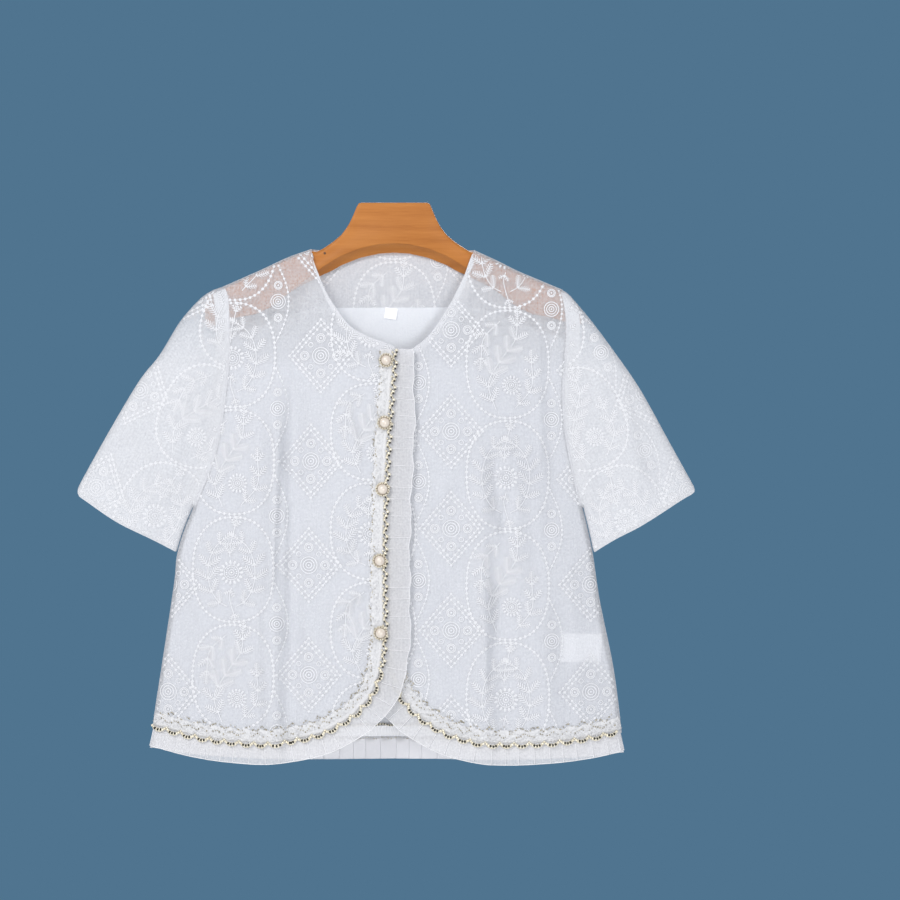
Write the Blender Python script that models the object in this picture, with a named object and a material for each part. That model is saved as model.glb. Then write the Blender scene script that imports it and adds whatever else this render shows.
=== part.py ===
"""An embroidered chiffon blouse with short sleeves, hung on a wooden hanger.

The blouse hangs in the XZ plane, its front faces -Y and the origin is the
middle of the hanger's flat top. "Right" and "left" are the wearer's, so the
right front lies at -X and closes over the left one. Sizes are in millimetres
and the meshes are made in metres.
"""
import bpy
import bmesh
import numpy as np

MM = 0.001

# Cloth and gaps
WALL = 1.2
LINING_WALL = 1.0
FRILL_WALL = 1.0
TRIM_THICK = 1.6
LABEL_THICK = 0.8
GAP = 0.35
SEAM_HALF_GAP = 0.17
UNDERARM_GAP = 0.9

# Shape of the hung body: how far each face stands off the middle plane
SHOULDER_ROUND = 9.5
SIDE_ROUND = 7.0
DEPTH = {"front": 24.0, "back": 16.0}
SLEEVE_DEPTH = 9.0
DEPTH_REACH = 150.0
SLEEVE_REACH = 55.0
FRONT_LIFT = 6.8
LIFT_FROM = -95.0
LIFT_TO = -50.0

# Trim, facing and frill
TRIM_WIDTH = 15.0
FACING_WIDTH = 11.0
FRILL_WIDTH = {"neck": 16.0, "edge": 23.0, "hem": 21.0}
PLEAT_DEEP = 2.3
PLEAT_SPACING = {"edge": 29.0, "hem": 15.0}
STEPS_PER_PLEAT = 4
EDGE_RUN = 330.0
CORNER_RUN = 55.0
NECK_RUN = 90.0
TANGENT_REACH = 9.0
FRILL_CALM = 16.0
FRILL_SHORT = 1.2
FRILL_STAND = 3.2

# Cells of the cloth grids
ARMHOLE_CELLS = 10
SIDE_CELLS = 11
SHOULDER_CELLS = 8
NECK_CELLS = 10
SLEEVE_CELLS = 9
SLEEVE_HEAD_STEPS = (7.0, 16.0, 28.0)
NECK_STEPS = (4.0, 10.0)
LINING_TOP_ROW = 4

# Steps of the grids beside the rounded edges, from the edge inwards
SEAM_STEPS = (2.2, 6.5, 13.0)
SHOULDER_STEPS = (1.7, 5.0, FACING_WIDTH)
UNDERARM_STEPS = (6.5, 2.2)
FRONT_WIDTH = 240.0
BACK_WIDTH = 490.0

# Outlines seen from the front, rows of (x, z); the side seams run on past the hem
SHOULDER = {
    "right": ((-87, -48.5), (-111, -57), (-138, -69.5), (-165, -81.5), (-180, -88)),
    "left": ((84, -49.5), (108, -60.5), (129, -71), (149, -79.5), (176.5, -91)),
}
ARMHOLE = {
    "right": ((-180, -88), (-175.5, -102), (-174, -140), (-175.5, -180), (-188, -259), (-211, -320)),
    "left": ((176.5, -91), (181, -112), (182.5, -140), (179, -190), (180, -230), (188, -279), (198, -320)),
}
HEM_ROW = 6
SIDE = {
    "right": ((-211, -320), (-221, -345), (-228, -370), (-231, -400), (-243, -480), (-250, -525),
              (-253.5, -551), (-258, -580), (-259, -592)),
    "left": ((198, -320), (204, -345), (209, -370), (216, -417), (229, -480), (235, -520),
             (239, -556), (242, -582), (243, -594)),
}
SLEEVE_TOP = {
    "right": ((-180, -88), (-192, -92.5), (-205, -102), (-225, -125), (-246, -159.5), (-267, -186),
              (-297, -236), (-326, -288), (-331.5, -299)),
    "left": ((176.5, -91), (184, -96.5), (195, -109), (209, -126), (229, -153), (258, -195),
             (288, -249), (309, -287), (315, -298)),
}
CUFF = {
    "right": ((-331.5, -299), (-330, -307), (-322, -313), (-289, -335), (-257, -351), (-228.8, -366)),
    "left": ((315, -298), (313.5, -304.5), (300, -312.5), (260, -338), (233.5, -352), (210.0, -366.5)),
}
NECK = {
    "right": ((-87, -48.5), (-84, -62), (-79, -75), (-72, -92), (-61, -110), (-45, -130),
              (-24, -142), (-7, -148), (4, -154)),
    "left": ((84, -49.5), (79, -62), (74, -76), (66, -93), (58, -108), (38, -138),
             (20, -153), (4, -160), (-17, -167)),
}
BACK_NECK = ((-87, -48.5), (-66, -49.5), (-40, -49.5), (-3, -49.5), (36, -49.5), (62, -49.5), (84, -49.5))
FRONT_EDGE = {
    "right": ((4, -154), (3.5, -180), (-1, -238), (-4.5, -312), (-6, -375), (-5.5, -438),
              (-7, -470), (-11, -493), (-20, -516), (-36, -535)),
    "left": ((-17, -167), (-18, -190), (-14, -238), (-10.5, -312), (-8.5, -375), (-9, -438),
             (-7.5, -470), (-4, -493), (4, -516), (20, -536)),
}
FRONT_HEM = {
    "right": ((-36, -535), (-52, -546), (-73, -557), (-99, -564), (-130, -568), (-162, -567),
              (-204, -562), (-253.5, -551)),
    "left": ((20, -536), (37, -548), (58, -559), (84, -566), (112, -569), (162, -567.5),
             (205, -563), (239, -556)),
}
BACK_HEM = ((-253.5, -551), (-204, -560), (-130, -565), (-60, -565), (0, -564.5), (60, -565),
            (120, -566), (200, -562), (239, -556))

# Folds: (x, z) at the top, (x, z) at the bottom, width, height outwards
FRONT_FOLDS = (
    (-104, -165, -107, -600, 11, -7.0),
    (-122, -190, -122, -600, 12, 5.0),
    (-156, -125, -150, -215, 17, -3.5),
    (-20, -312, -78, -396, 9, 2.5),
    (-10, -375, -88, -459, 9, 2.5),
    (-15, -417, -67, -522, 10, 2.5),
    (-36, -200, -12, -268, 10, -2.5),
    (108, -235, 112, -600, 11, -6.0),
    (92, -240, 94, -600, 11, 3.5),
    (38, -205, 20, -262, 10, 2.5),
    (150, -380, 165, -600, 14, 3.0),
    (-256, -262, -240, -352, 10, -3.0),
    (-285, -255, -276, -340, 11, 2.5),
    (222, -200, 217, -345, 10, -4.0),
    (245, -235, 262, -335, 11, 2.5),
)
BACK_FOLDS = (
    (-96, -190, -102, -600, 12, -6.0),
    (-116, -210, -122, -600, 12, 3.5),
    (82, -170, 90, -600, 12, -6.0),
    (104, -220, 112, -600, 12, 3.5),
    (-6, -150, -2, -600, 15, 3.0),
    (-160, -350, -176, -600, 13, 3.0),
    (160, -360, 172, -600, 13, -3.0),
    (-262, -250, -250, -350, 10, -3.0),
    (232, -210, 226, -345, 10, -3.0),
)
FOLD_FADE = 55.0

# Hanger: its neck and lower edge from the middle out, rows of (x, z)
HANGER_HALF_THICK = 5.5
HANGER_UNDER_SHOULDER = 2.0
HANGER_UNDER_SLEEVE = 2.0
HANGER_TOP = ((0, 0), (20, 0), (36, 0), (38, -1.5), (43, -14), (48, -24), (55, -33.5), (64, -41),
              (73, -47), (81, -51.5))
HANGER_LOW = ((0, -43), (16, -44), (36, -48.5), (56, -56.5), (74, -67.5), (92, -81), (112, -96),
              (130, -110), (146, -117), (165, -120.5), (184, -126), (198, -134))
HANGER_END = {"right": -198.0, "left": 196.0}
HANGER_BEVEL = 9.0
HANGER_CORNER = 5.2
HANGER_NECK_CORNER = 2.2
HANGER_LOW_CORNER = 1.5

# Buttons on the right front's trim, rows of (x, z)
BUTTONS = ((-7.5, -166), (-9, -231), (-11, -300), (-14, -374), (-13, -449))
BUTTON_PROFILE = ((7.6, 0.0), (7.9, 0.9), (7.2, 2.0), (6.4, 3.4), (4.9, 5.0), (2.7, 6.0))
BUTTON_SIDES = 14

# Labels: centre x, z, width, height, turn in degrees
SIZE_LABEL = (-3.5, -115.5, 13.0, 11.5, -9.0)
CARE_LABEL = (196.0, -466.0, 44.0, 30.0, 8.0)

LABEL_ROOM = 1.5
LABEL_REACH = 32.0

COLOURS = {
    "wood": (0.55, 0.23, 0.07, 0.45, 0.0),
    "organza": (0.80, 0.81, 0.84, 0.65, 0.0),
    "lining": (0.72, 0.74, 0.78, 0.70, 0.0),
    "braid": (0.62, 0.60, 0.56, 0.45, 0.3),
    "pearl": (0.85, 0.78, 0.70, 0.22, 0.0),
    "label": (0.90, 0.90, 0.90, 0.60, 0.0),
}


# Lines and gradings

def smooth_line(rows, per_span=10):
    """A dense line through the rows."""
    points = np.array(rows, float)
    padded = np.vstack([2 * points[0] - points[1], points, 2 * points[-1] - points[-2]])
    t = np.linspace(0.0, 1.0, per_span, endpoint=False)[:, None]
    spans = []
    for k in range(len(points) - 1):
        a, b, c, d = padded[k:k + 4]
        spans.append(0.5 * (2 * b + (c - a) * t + (2 * a - 5 * b + 4 * c - d) * t ** 2
                            + (3 * b - a - 3 * c + d) * t ** 3))
    return np.vstack(spans + [points[-1:]])


def lengths(line):
    """The running length at each point of a line."""
    return np.concatenate([[0.0], np.cumsum(np.linalg.norm(np.diff(line, axis=0), axis=1))])


def along(line, fractions):
    """Points of a line at fractions of its length."""
    run = lengths(line)
    where = np.asarray(fractions) * run[-1]
    return np.stack([np.interp(where, run, line[:, k]) for k in range(line.shape[1])], axis=-1)


def graded(length, first, last, cells):
    """Fractions of a length: given steps at both ends, even ones between."""
    start = [0.0] + list(first)
    end = [length - step for step in last] + [length]
    even = np.linspace(start[-1], end[0], cells - len(first) - len(last) + 1)
    return np.concatenate([start[:-1], even, end[1:]]) / length


def ease(t):
    """A soft step from 0 to 1."""
    t = np.clip(t, 0.0, 1.0)
    return t * t * (3.0 - 2.0 * t)


def distance(x, z, line):
    """Distance of points from a line, in the XZ plane."""
    best = np.full(np.shape(x), 1e9)
    for (ax, az), (bx, bz) in zip(line[:-1], line[1:]):
        dx, dz = bx - ax, bz - az
        t = np.clip(((x - ax) * dx + (z - az) * dz) / (dx * dx + dz * dz + 1e-12), 0.0, 1.0)
        best = np.minimum(best, np.hypot(x - ax - t * dx, z - az - t * dz))
    return best


TOP_LINE = {s: np.vstack([smooth_line(SHOULDER[s]), smooth_line(SLEEVE_TOP[s])]) for s in SHOULDER}
SIDE_LINE = {s: smooth_line(SIDE[s]) for s in SIDE}
BODY_EDGE = {s: np.vstack([smooth_line(ARMHOLE[s]), SIDE_LINE[s][1:]]) for s in SIDE}
UNDERARM_Z = SIDE["right"][0][1]


# The hung shape: how far the cloth stands off the middle plane

def inset(x, z):
    """Distance inside the armholes and side seams, negative on the sleeves."""
    right, left = BODY_EDGE["right"][::-1], BODY_EDGE["left"][::-1]
    from_right = x - np.interp(z, right[:, 1], right[:, 0])
    from_left = np.interp(z, left[:, 1], left[:, 0]) - x
    return np.minimum(from_right, from_left)


def fold_height(x, z, folds):
    """Sum of the folds, each a soft ridge or trough along its own line."""
    total = np.zeros(np.shape(x))
    for x_top, z_top, x_low, z_low, width, height in folds:
        dx, dz = x_low - x_top, z_low - z_top
        size = np.hypot(dx, dz)
        t = ((x - x_top) * dx + (z - z_top) * dz) / size
        across = ((x - x_top) * dz - (z - z_top) * dx) / size
        window = ease(t / FOLD_FADE) * ease((size - t) / FOLD_FADE)
        total += height * np.exp(-(across / width) ** 2) * window
    return total


def depth(x, z, face, sleeve=False):
    """Distance of the cloth's outer surface from the middle plane."""
    inside = inset(x, z)
    edge = np.full(np.shape(x), 1e9)
    for side in ("right", "left"):
        edge = np.minimum(edge, distance(x, z, TOP_LINE[side]))
        edge = np.minimum(edge, distance(x, z, SIDE_LINE[side]))
    if not sleeve:
        edge = np.where((inside < 0.0) & (z < UNDERARM_Z), 0.0, edge)
    radius = SIDE_ROUND + (SHOULDER_ROUND - SIDE_ROUND) * ease((z + 230.0) / 70.0)
    t = np.clip(edge / radius, 0.0, 1.0)
    rounding = radius * np.sqrt(1.0 - (1.0 - t) ** 2)
    body = DEPTH[face] * (1.0 - (1.0 - np.clip(inside / DEPTH_REACH, 0.0, 1.0)) ** 2)
    body = body * ease((-55.0 - z) / 260.0)
    arm = SLEEVE_DEPTH * (1.0 - (1.0 - np.clip(edge / SLEEVE_REACH, 0.0, 1.0)) ** 2)
    arm = arm * ease(-inside / 45.0)
    folds = FRONT_FOLDS if face == "front" else BACK_FOLDS
    creases = fold_height(x, z, folds) * ease(edge / 25.0)
    return SEAM_HALF_GAP + rounding + body + arm + creases


def lift(x):
    """The right front stands off where it closes over the left one."""
    return FRONT_LIFT * ease((x - LIFT_FROM) / (LIFT_TO - LIFT_FROM))


def surface(points, face, lifted=False, sleeve=False):
    """The (x, y, z) points of a face over points of the XZ plane."""
    x, z = points[..., 0], points[..., 1]
    out = depth(x, z, face, sleeve)
    if lifted:
        out = out + lift(x)
    y = -out if face == "front" else out
    return np.stack([x, y, z], axis=-1)


# Grids and walls

def coons(top, bottom, start, end, u, v):
    """A grid between four lines; start and end join top to bottom."""
    u, v = u[:, None, None], v[None, :, None]
    across = (1 - v) * top[:, None] + v * bottom[:, None]
    down = (1 - u) * start[None] + u * end[None]
    corners = ((1 - u) * (1 - v) * top[0] + u * (1 - v) * top[-1]
               + (1 - u) * v * bottom[0] + u * v * bottom[-1])
    return across + down - corners


def grid_normals(grid, face, wrapped=False):
    """Unit normals of a grid, pointing out of the garment."""
    du = np.gradient(grid, axis=0)
    if wrapped:
        dv = np.roll(grid, -1, axis=1) - np.roll(grid, 1, axis=1)
    else:
        dv = np.gradient(grid, axis=1)
    normal = np.cross(du, dv)
    normal /= np.linalg.norm(normal, axis=-1, keepdims=True) + 1e-12
    if wrapped:
        middle = grid.mean(axis=1, keepdims=True)
        outward = np.sum(normal * (grid - middle), axis=-1).mean()
    else:
        outward = normal[..., 1].mean() * (-1.0 if face == "front" else 1.0)
    return normal if outward > 0 else -normal


def level_edge(normals, rows):
    """Turn the normals of seam points into the garment's middle plane."""
    edge = normals[rows]
    edge[..., 1] = 0.0
    normals[rows] = edge / (np.linalg.norm(edge, axis=-1, keepdims=True) + 1e-12)


def across_line(points, toward):
    """Unit directions square to a line in the XZ plane, on the given side of X."""
    tangent = np.gradient(points, axis=0)
    square = np.stack([tangent[:, 1], -tangent[:, 0]], axis=1)
    square /= np.linalg.norm(square, axis=1, keepdims=True)
    return square * np.where(square[:, :1] * toward < 0, -1.0, 1.0)


def square_edge(normals, rows, square):
    """Turn the normals of armhole points along the seam, so that the two walls face."""
    edge = normals[rows]
    direction = np.stack([square[:, 0], np.zeros(len(square)), square[:, 1]], axis=1)
    edge = edge - np.sum(edge * direction, axis=1, keepdims=True) * direction
    normals[rows] = edge / (np.linalg.norm(edge, axis=1, keepdims=True) + 1e-12)


def make_object(name, mesh_data, colour):
    """An object with its own material, from points in mm and faces."""
    points, faces = mesh_data
    work = bmesh.new()
    corners = [work.verts.new([c * MM for c in p]) for p in points]
    for face in faces:
        work.faces.new([corners[k] for k in face])
    if work.calc_volume(signed=True) < 0:
        bmesh.ops.reverse_faces(work, faces=work.faces[:])
    mesh = bpy.data.meshes.new(name)
    work.to_mesh(mesh)
    work.free()
    mesh.shade_smooth()
    mesh.set_sharp_from_angle(angle=np.radians(50.0))
    red, green, blue, rough, metal = COLOURS[colour]
    material = bpy.data.materials.new(name)
    material.use_nodes = True
    shader = material.node_tree.nodes["Principled BSDF"]
    shader.inputs["Base Color"].default_value = (red, green, blue, 1.0)
    shader.inputs["Roughness"].default_value = rough
    shader.inputs["Metallic"].default_value = metal
    mesh.materials.append(material)
    thing = bpy.data.objects.new(name, mesh)
    bpy.context.scene.collection.objects.link(thing)
    return thing


def wall(outer, inner, cells, wrapped=False):
    """Points and faces of the closed wall between two grids, over some cells."""
    count = outer.shape[1]
    index, points = {}, []

    def corner(layer, i, j):
        key = (layer, i, j % count if wrapped else j)
        if key not in index:
            index[key] = len(points)
            points.append((outer if layer == 0 else inner)[key[1], key[2]])
        return index[key]

    faces, rim = [], {}
    for i, j in cells:
        loop = ((i, j), (i + 1, j), (i + 1, j + 1), (i, j + 1))
        for layer in (0, 1):
            a, b, c, d = [corner(layer, *p) for p in loop]
            if layer == 0:
                faces += [(a, b, c), (a, c, d)]
            else:
                faces += [(c, b, a), (d, c, a)]
        for p, q in zip(loop, loop[1:] + loop[:1]):
            p = (p[0], p[1] % count if wrapped else p[1])
            q = (q[0], q[1] % count if wrapped else q[1])
            if (q, p) in rim:
                del rim[(q, p)]
            else:
                rim[(p, q)] = True
    for p, q in rim:
        a, b = corner(0, *p), corner(0, *q)
        c, d = corner(1, *q), corner(1, *p)
        faces += [(b, a, d), (b, d, c)]
    return points, faces


def offset(grid, normals, distance_out):
    """The grid moved out along its normals."""
    return grid + normals * np.asarray(distance_out)[..., None]


class Panel:
    """A front or back: its grid on the hung surface and the normals there."""

    def __init__(self, top, bottom, start, end, u, v, face, lifted):
        self.flat = coons(top, bottom, start, end, u, v)
        self.face = face
        self.lifted = lifted
        self.grid = surface(self.flat, face, lifted)
        self.normals = grid_normals(self.grid, face)
        self.columns = self.flat.shape[0] - 1
        self.rows = self.flat.shape[1] - 1

    def cells(self, columns, rows):
        return [(i, j) for i in columns for j in rows]

    def layer(self, name, colour, near, far, cells):
        """A solid between two distances from the panel's outer surface."""
        outer = offset(self.grid, self.normals, near)
        inner = offset(self.grid, self.normals, far)
        return make_object(name, wall(outer, inner, cells), colour)


def side_rows():
    """Row fractions down the armhole and the side, and the armhole's alone."""
    run_arm = lengths(smooth_line(ARMHOLE["right"]))[-1]
    seam = smooth_line(SIDE["right"][:HEM_ROW + 1])
    run_side = lengths(seam)[-1]
    arm = graded(run_arm, SHOULDER_STEPS, UNDERARM_STEPS, ARMHOLE_CELLS)
    below = graded(run_side, (), (TRIM_WIDTH,), SIDE_CELLS)
    share = run_arm / (run_arm + run_side)
    return np.concatenate([arm * share, share + below[1:] * (1 - share)]), arm, below


def body_side(side, arm, below):
    """Points down one armhole and side seam to the hem."""
    seam = smooth_line(SIDE[side][:HEM_ROW + 1])
    return np.vstack([along(smooth_line(ARMHOLE[side]), arm), along(seam, below[1:])])


def finish_armhole(panel, column, side, arm):
    """Square the panel's wall to one armhole and level it at both ends."""
    toward = -1.0 if side == "right" else 1.0
    square = across_line(along(smooth_line(ARMHOLE[side]), arm), toward)
    level_edge(panel.normals, (column, slice(ARMHOLE_CELLS, None)))
    square_edge(panel.normals, (column, slice(0, ARMHOLE_CELLS + 1)), square)
    level_edge(panel.normals, (column, slice(0, 1)))
    level_edge(panel.normals, (column, slice(ARMHOLE_CELLS, ARMHOLE_CELLS + 1)))


def front_panel(side):
    """One front, from its side seam (u = 0) to its front edge (u = 1)."""
    v, arm, below = side_rows()
    cells = SHOULDER_CELLS + NECK_CELLS
    u = graded(FRONT_WIDTH, SEAM_STEPS, (TRIM_WIDTH,), cells)
    shoulder = smooth_line(SHOULDER[side])[::-1]
    neck = smooth_line(NECK[side])
    share = u[SHOULDER_CELLS]
    neck_steps = graded(lengths(neck)[-1], NECK_STEPS, (TRIM_WIDTH,), NECK_CELLS)
    top = np.vstack([along(shoulder, u[:SHOULDER_CELLS + 1] / share), along(neck, neck_steps[1:])])
    bottom = along(smooth_line(FRONT_HEM[side])[::-1], u)
    end = along(smooth_line(FRONT_EDGE[side]), v)
    panel = Panel(top, bottom, body_side(side, arm, below), end, u, v, "front", side == "right")
    level_edge(panel.normals, (slice(0, SHOULDER_CELLS + 1), 0))
    finish_armhole(panel, 0, side, arm)
    return panel


def back_panel():
    """The back, from the right side seam (u = 0) to the left one (u = 1)."""
    v, arm, below = side_rows()
    cells = 2 * SHOULDER_CELLS + NECK_CELLS
    u = graded(BACK_WIDTH, SEAM_STEPS, SEAM_STEPS[::-1], cells)
    low, high = SHOULDER_CELLS, SHOULDER_CELLS + NECK_CELLS
    right = along(smooth_line(SHOULDER["right"])[::-1], u[:low + 1] / u[low])
    neck = smooth_line(BACK_NECK)
    neck_steps = graded(lengths(neck)[-1], NECK_STEPS, NECK_STEPS[::-1], NECK_CELLS)
    neck = along(neck, neck_steps[1:-1])
    left = along(smooth_line(SHOULDER["left"]), (u[high:] - u[high]) / (1 - u[high]))
    top = np.vstack([right, neck, left])
    bottom = along(smooth_line(BACK_HEM), u)
    panel = Panel(top, bottom, body_side("right", arm, below), body_side("left", arm, below),
                  u, v, "back", False)
    level_edge(panel.normals, (slice(0, low + 1), 0))
    level_edge(panel.normals, (slice(high, None), 0))
    finish_armhole(panel, 0, "right", arm)
    finish_armhole(panel, -1, "left", arm)
    return panel


# The pieces

def make_sleeve(side):
    """A sleeve: rings from the armhole to the cuff, front and back in one tube."""
    v, arm, below = side_rows()
    outward = -1.0 if side == "right" else 1.0
    start = along(smooth_line(ARMHOLE[side]), arm)
    square = across_line(start, outward)
    start = start + square * GAP
    end = along(smooth_line(CUFF[side]), arm)
    top_line = smooth_line(SLEEVE_TOP[side])
    u = graded(lengths(top_line)[-1], SLEEVE_HEAD_STEPS, (), SLEEVE_CELLS)
    top = along(top_line, u)
    top[0] = start[0]
    beside = SIDE_LINE[side] + np.array([outward * UNDERARM_GAP, 0.0])
    under = along(beside[beside[:, 1] >= CUFF[side][-1][1]], u)
    under[0], under[-1] = start[-1], end[-1]
    flat = coons(start, end, top, under, arm, u)
    front = surface(flat, "front", sleeve=True)
    back = surface(flat, "back", sleeve=True)
    front[0, :, 1] = 0.0
    front[-1, :, 1] = 0.0
    tube = np.concatenate([front, back[-2:0:-1]], axis=0).transpose(1, 0, 2)
    normals = grid_normals(tube, "front", wrapped=True)
    square_edge(normals, (0, slice(None)), np.concatenate([square, square[-2:0:-1]]))
    cells = [(i, j) for i in range(SLEEVE_CELLS) for j in range(tube.shape[1])]
    mesh_data = wall(tube, offset(tube, normals, -WALL), cells, wrapped=True)
    return make_object("sleeve_" + side, mesh_data, "organza")


def make_trim(panel, name, front_edge):
    """The braid: the panel's outermost cells, moved out."""
    last = panel.rows - 1
    cells = panel.cells(range(panel.columns), (last,))
    if front_edge:
        cells += panel.cells((panel.columns - 1,), range(last))
    return panel.layer(name, "braid", GAP + TRIM_THICK, GAP, cells)


def make_frill(panel, name, boundary, outward_sign, front_edge):
    """A pleated strip that starts at the panel's edge."""
    run = lengths(boundary)
    total = run[-1]
    first = 0.0 if front_edge else FRILL_SHORT
    mix = ease((run - EDGE_RUN) / CORNER_RUN) if front_edge else np.ones_like(run)
    spacing = PLEAT_SPACING["edge"] + (PLEAT_SPACING["hem"] - PLEAT_SPACING["edge"]) * mix
    turns = np.concatenate([[0.0], np.cumsum(np.diff(run) / (0.5 * (spacing[1:] + spacing[:-1])))])
    steps = int(round(turns[-1] * STEPS_PER_PLEAT))
    turn = np.linspace(0.0, turns[-1], steps + 1)
    at = np.clip(np.interp(turn, turns, run), first, total - FRILL_SHORT)
    base = along(boundary, at / total)
    ahead = along(boundary, np.clip((at + TANGENT_REACH) / total, 0.0, 1.0))
    behind = along(boundary, np.clip((at - TANGENT_REACH) / total, 0.0, 1.0))
    tangent = (ahead - behind)[:, (0, 2)]
    tangent /= np.linalg.norm(tangent, axis=1, keepdims=True)
    outward = np.stack([tangent[:, 1], -tangent[:, 0]], axis=1) * outward_sign
    width = np.full(len(at), FRILL_WIDTH["hem"])
    if front_edge:
        width = FRILL_WIDTH["edge"] + (width - FRILL_WIDTH["edge"]) * ease((at - EDGE_RUN) / CORNER_RUN)
        width -= (FRILL_WIDTH["edge"] - FRILL_WIDTH["neck"]) * (1 - ease(at / NECK_RUN))
    base[:, (0, 2)] += outward * GAP
    tip = surface(base[:, (0, 2)] + outward * width[:, None], panel.face, panel.lifted)
    toward = -1.0 if panel.face == "front" else 1.0
    steady = ease(inset(tip[:, 0], tip[:, 2]) / FRILL_CALM)
    stand = np.maximum(tip[:, 1] * toward, FRILL_STAND)
    tip[:, 1] = (stand + PLEAT_DEEP * np.sin(2 * np.pi * turn) * steady) * toward
    grid = np.stack([base, tip], axis=1)
    normals = grid_normals(grid, panel.face)
    cells = [(i, 0) for i in range(steps)]
    mesh_data = wall(grid, offset(grid, normals, -FRILL_WALL), cells)
    return make_object(name, mesh_data, "organza")


def make_front(side):
    """A front with its facing, lining, trim and frill."""
    panel = front_panel(side)
    rows, columns = panel.rows, panel.columns
    panel.layer("front_" + side, "organza", 0.0, -WALL, panel.cells(range(columns), range(rows)))
    panel.layer("facing_" + side, "organza", -WALL - GAP, -WALL - GAP - LINING_WALL,
                panel.cells(range(SHOULDER_CELLS + 2, columns), range(3)))
    centre_x, centre_z = CARE_LABEL[:2]
    from_label = np.hypot(panel.flat[..., 0] - centre_x, panel.flat[..., 1] - centre_z)
    room = LABEL_ROOM * (1 - ease((from_label - LABEL_REACH) / LABEL_REACH))
    top = WALL + GAP + room
    panel.layer("lining_" + side, "lining", -top, -top - LINING_WALL,
                panel.cells(range(2, columns - 2), range(LINING_TOP_ROW, rows - 1)))
    make_trim(panel, "trim_" + side, True)
    edge = panel.grid[-1, :]
    hem = panel.grid[::-1, -1]
    boundary = np.vstack([edge, hem[1:]])
    make_frill(panel, "frill_" + side, boundary, -1.0 if side == "right" else 1.0, True)
    return panel


def make_back():
    """The back with its lining, trim and frill."""
    panel = back_panel()
    rows, columns = panel.rows, panel.columns
    panel.layer("back", "organza", 0.0, -WALL, panel.cells(range(columns), range(rows)))
    top = WALL + GAP
    panel.layer("lining_back", "lining", -top, -top - LINING_WALL,
                panel.cells(range(2, columns - 2), range(LINING_TOP_ROW, rows - 1)))
    make_trim(panel, "trim_back", False)
    make_frill(panel, "frill_back", panel.grid[:, -1], 1.0, False)
    return panel


def make_label(name, row, face, room):
    """A bare label that lies on the inside of a face."""
    centre_x, centre_z, width, height, turn = row
    across, up = np.meshgrid(np.linspace(-0.5, 0.5, 4) * width, np.linspace(-0.5, 0.5, 3) * height,
                             indexing="ij")
    angle = np.radians(turn)
    flat = np.stack([centre_x + across * np.cos(angle) - up * np.sin(angle),
                     centre_z + across * np.sin(angle) + up * np.cos(angle)], axis=-1)
    grid = surface(flat, face)
    normals = grid_normals(grid, face)
    cells = [(i, j) for i in range(3) for j in range(2)]
    mesh_data = wall(offset(grid, normals, -room), offset(grid, normals, -room - LABEL_THICK), cells)
    return make_object(name, mesh_data, "label")


def make_button(number, x, z):
    """A pearl on a round base, seated on the trim."""
    ring = np.linspace(0.0, 2 * np.pi, BUTTON_SIDES, endpoint=False)
    reach = BUTTON_PROFILE[1][0]
    foot = np.stack([x + reach * np.cos(ring), z + reach * np.sin(ring)], axis=-1)
    seat = surface(foot, "front", True)[:, 1].min() - GAP - TRIM_THICK - GAP
    points = [(x, seat, z)]
    for radius, height in BUTTON_PROFILE:
        points += [(x + radius * np.cos(a), seat - height, z + radius * np.sin(a)) for a in ring]
    points.append((x, seat - BUTTON_PROFILE[-1][1] - 0.5, z))
    faces, last = [], len(points) - 1
    for k in range(BUTTON_SIDES):
        n = (k + 1) % BUTTON_SIDES
        faces.append((0, 1 + n, 1 + k))
        for level in range(len(BUTTON_PROFILE) - 1):
            low = 1 + level * BUTTON_SIDES
            high = low + BUTTON_SIDES
            faces.append((low + k, low + n, high + n, high + k))
        faces.append((last - BUTTON_SIDES + k, last - BUTTON_SIDES + n, last))
    return make_object("button_%d" % number, (points, faces), "pearl")


def hanger_section(x, side):
    """The outline of the hanger at one x, as (y, z) corners."""
    top_table = np.array(HANGER_TOP, float)
    low_table = np.array(HANGER_LOW, float)
    reach = abs(x)
    line = TOP_LINE[side]
    line = line if side == "left" else line[::-1]
    start = abs(SHOULDER[side][0][0])
    tip = abs(SHOULDER[side][-1][0])
    room = HANGER_UNDER_SHOULDER + HANGER_UNDER_SLEEVE * ease((reach - tip + 8.0) / 12.0)
    under = np.interp(x, line[:, 0], line[:, 1]) - room
    top = under if reach > start - 3.0 else np.interp(reach, top_table[:, 0], top_table[:, 1])
    if reach > 81.0:
        top = min(top, under)
    low = np.interp(reach, low_table[:, 0], low_table[:, 1])
    mix = ease((reach - 40.0) / 40.0)
    corner = HANGER_NECK_CORNER + (HANGER_CORNER - HANGER_NECK_CORNER) * mix
    bevel = HANGER_BEVEL * (1 - ease((reach - 60.0) / 50.0))
    half = HANGER_HALF_THICK
    turn = np.linspace(0.0, np.pi / 2, 4)
    front = [(-half + corner * (1 - np.cos(a)), top - corner * (1 - np.sin(a))) for a in turn]
    back = [(-y, z) for y, z in front[::-1]]
    foot = HANGER_LOW_CORNER
    low_back = [(half, low - bevel + foot), (half - foot, low - bevel)]
    low_front = [(-half + foot, low), (-half, low + foot)]
    return front + back + low_back + low_front


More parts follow.
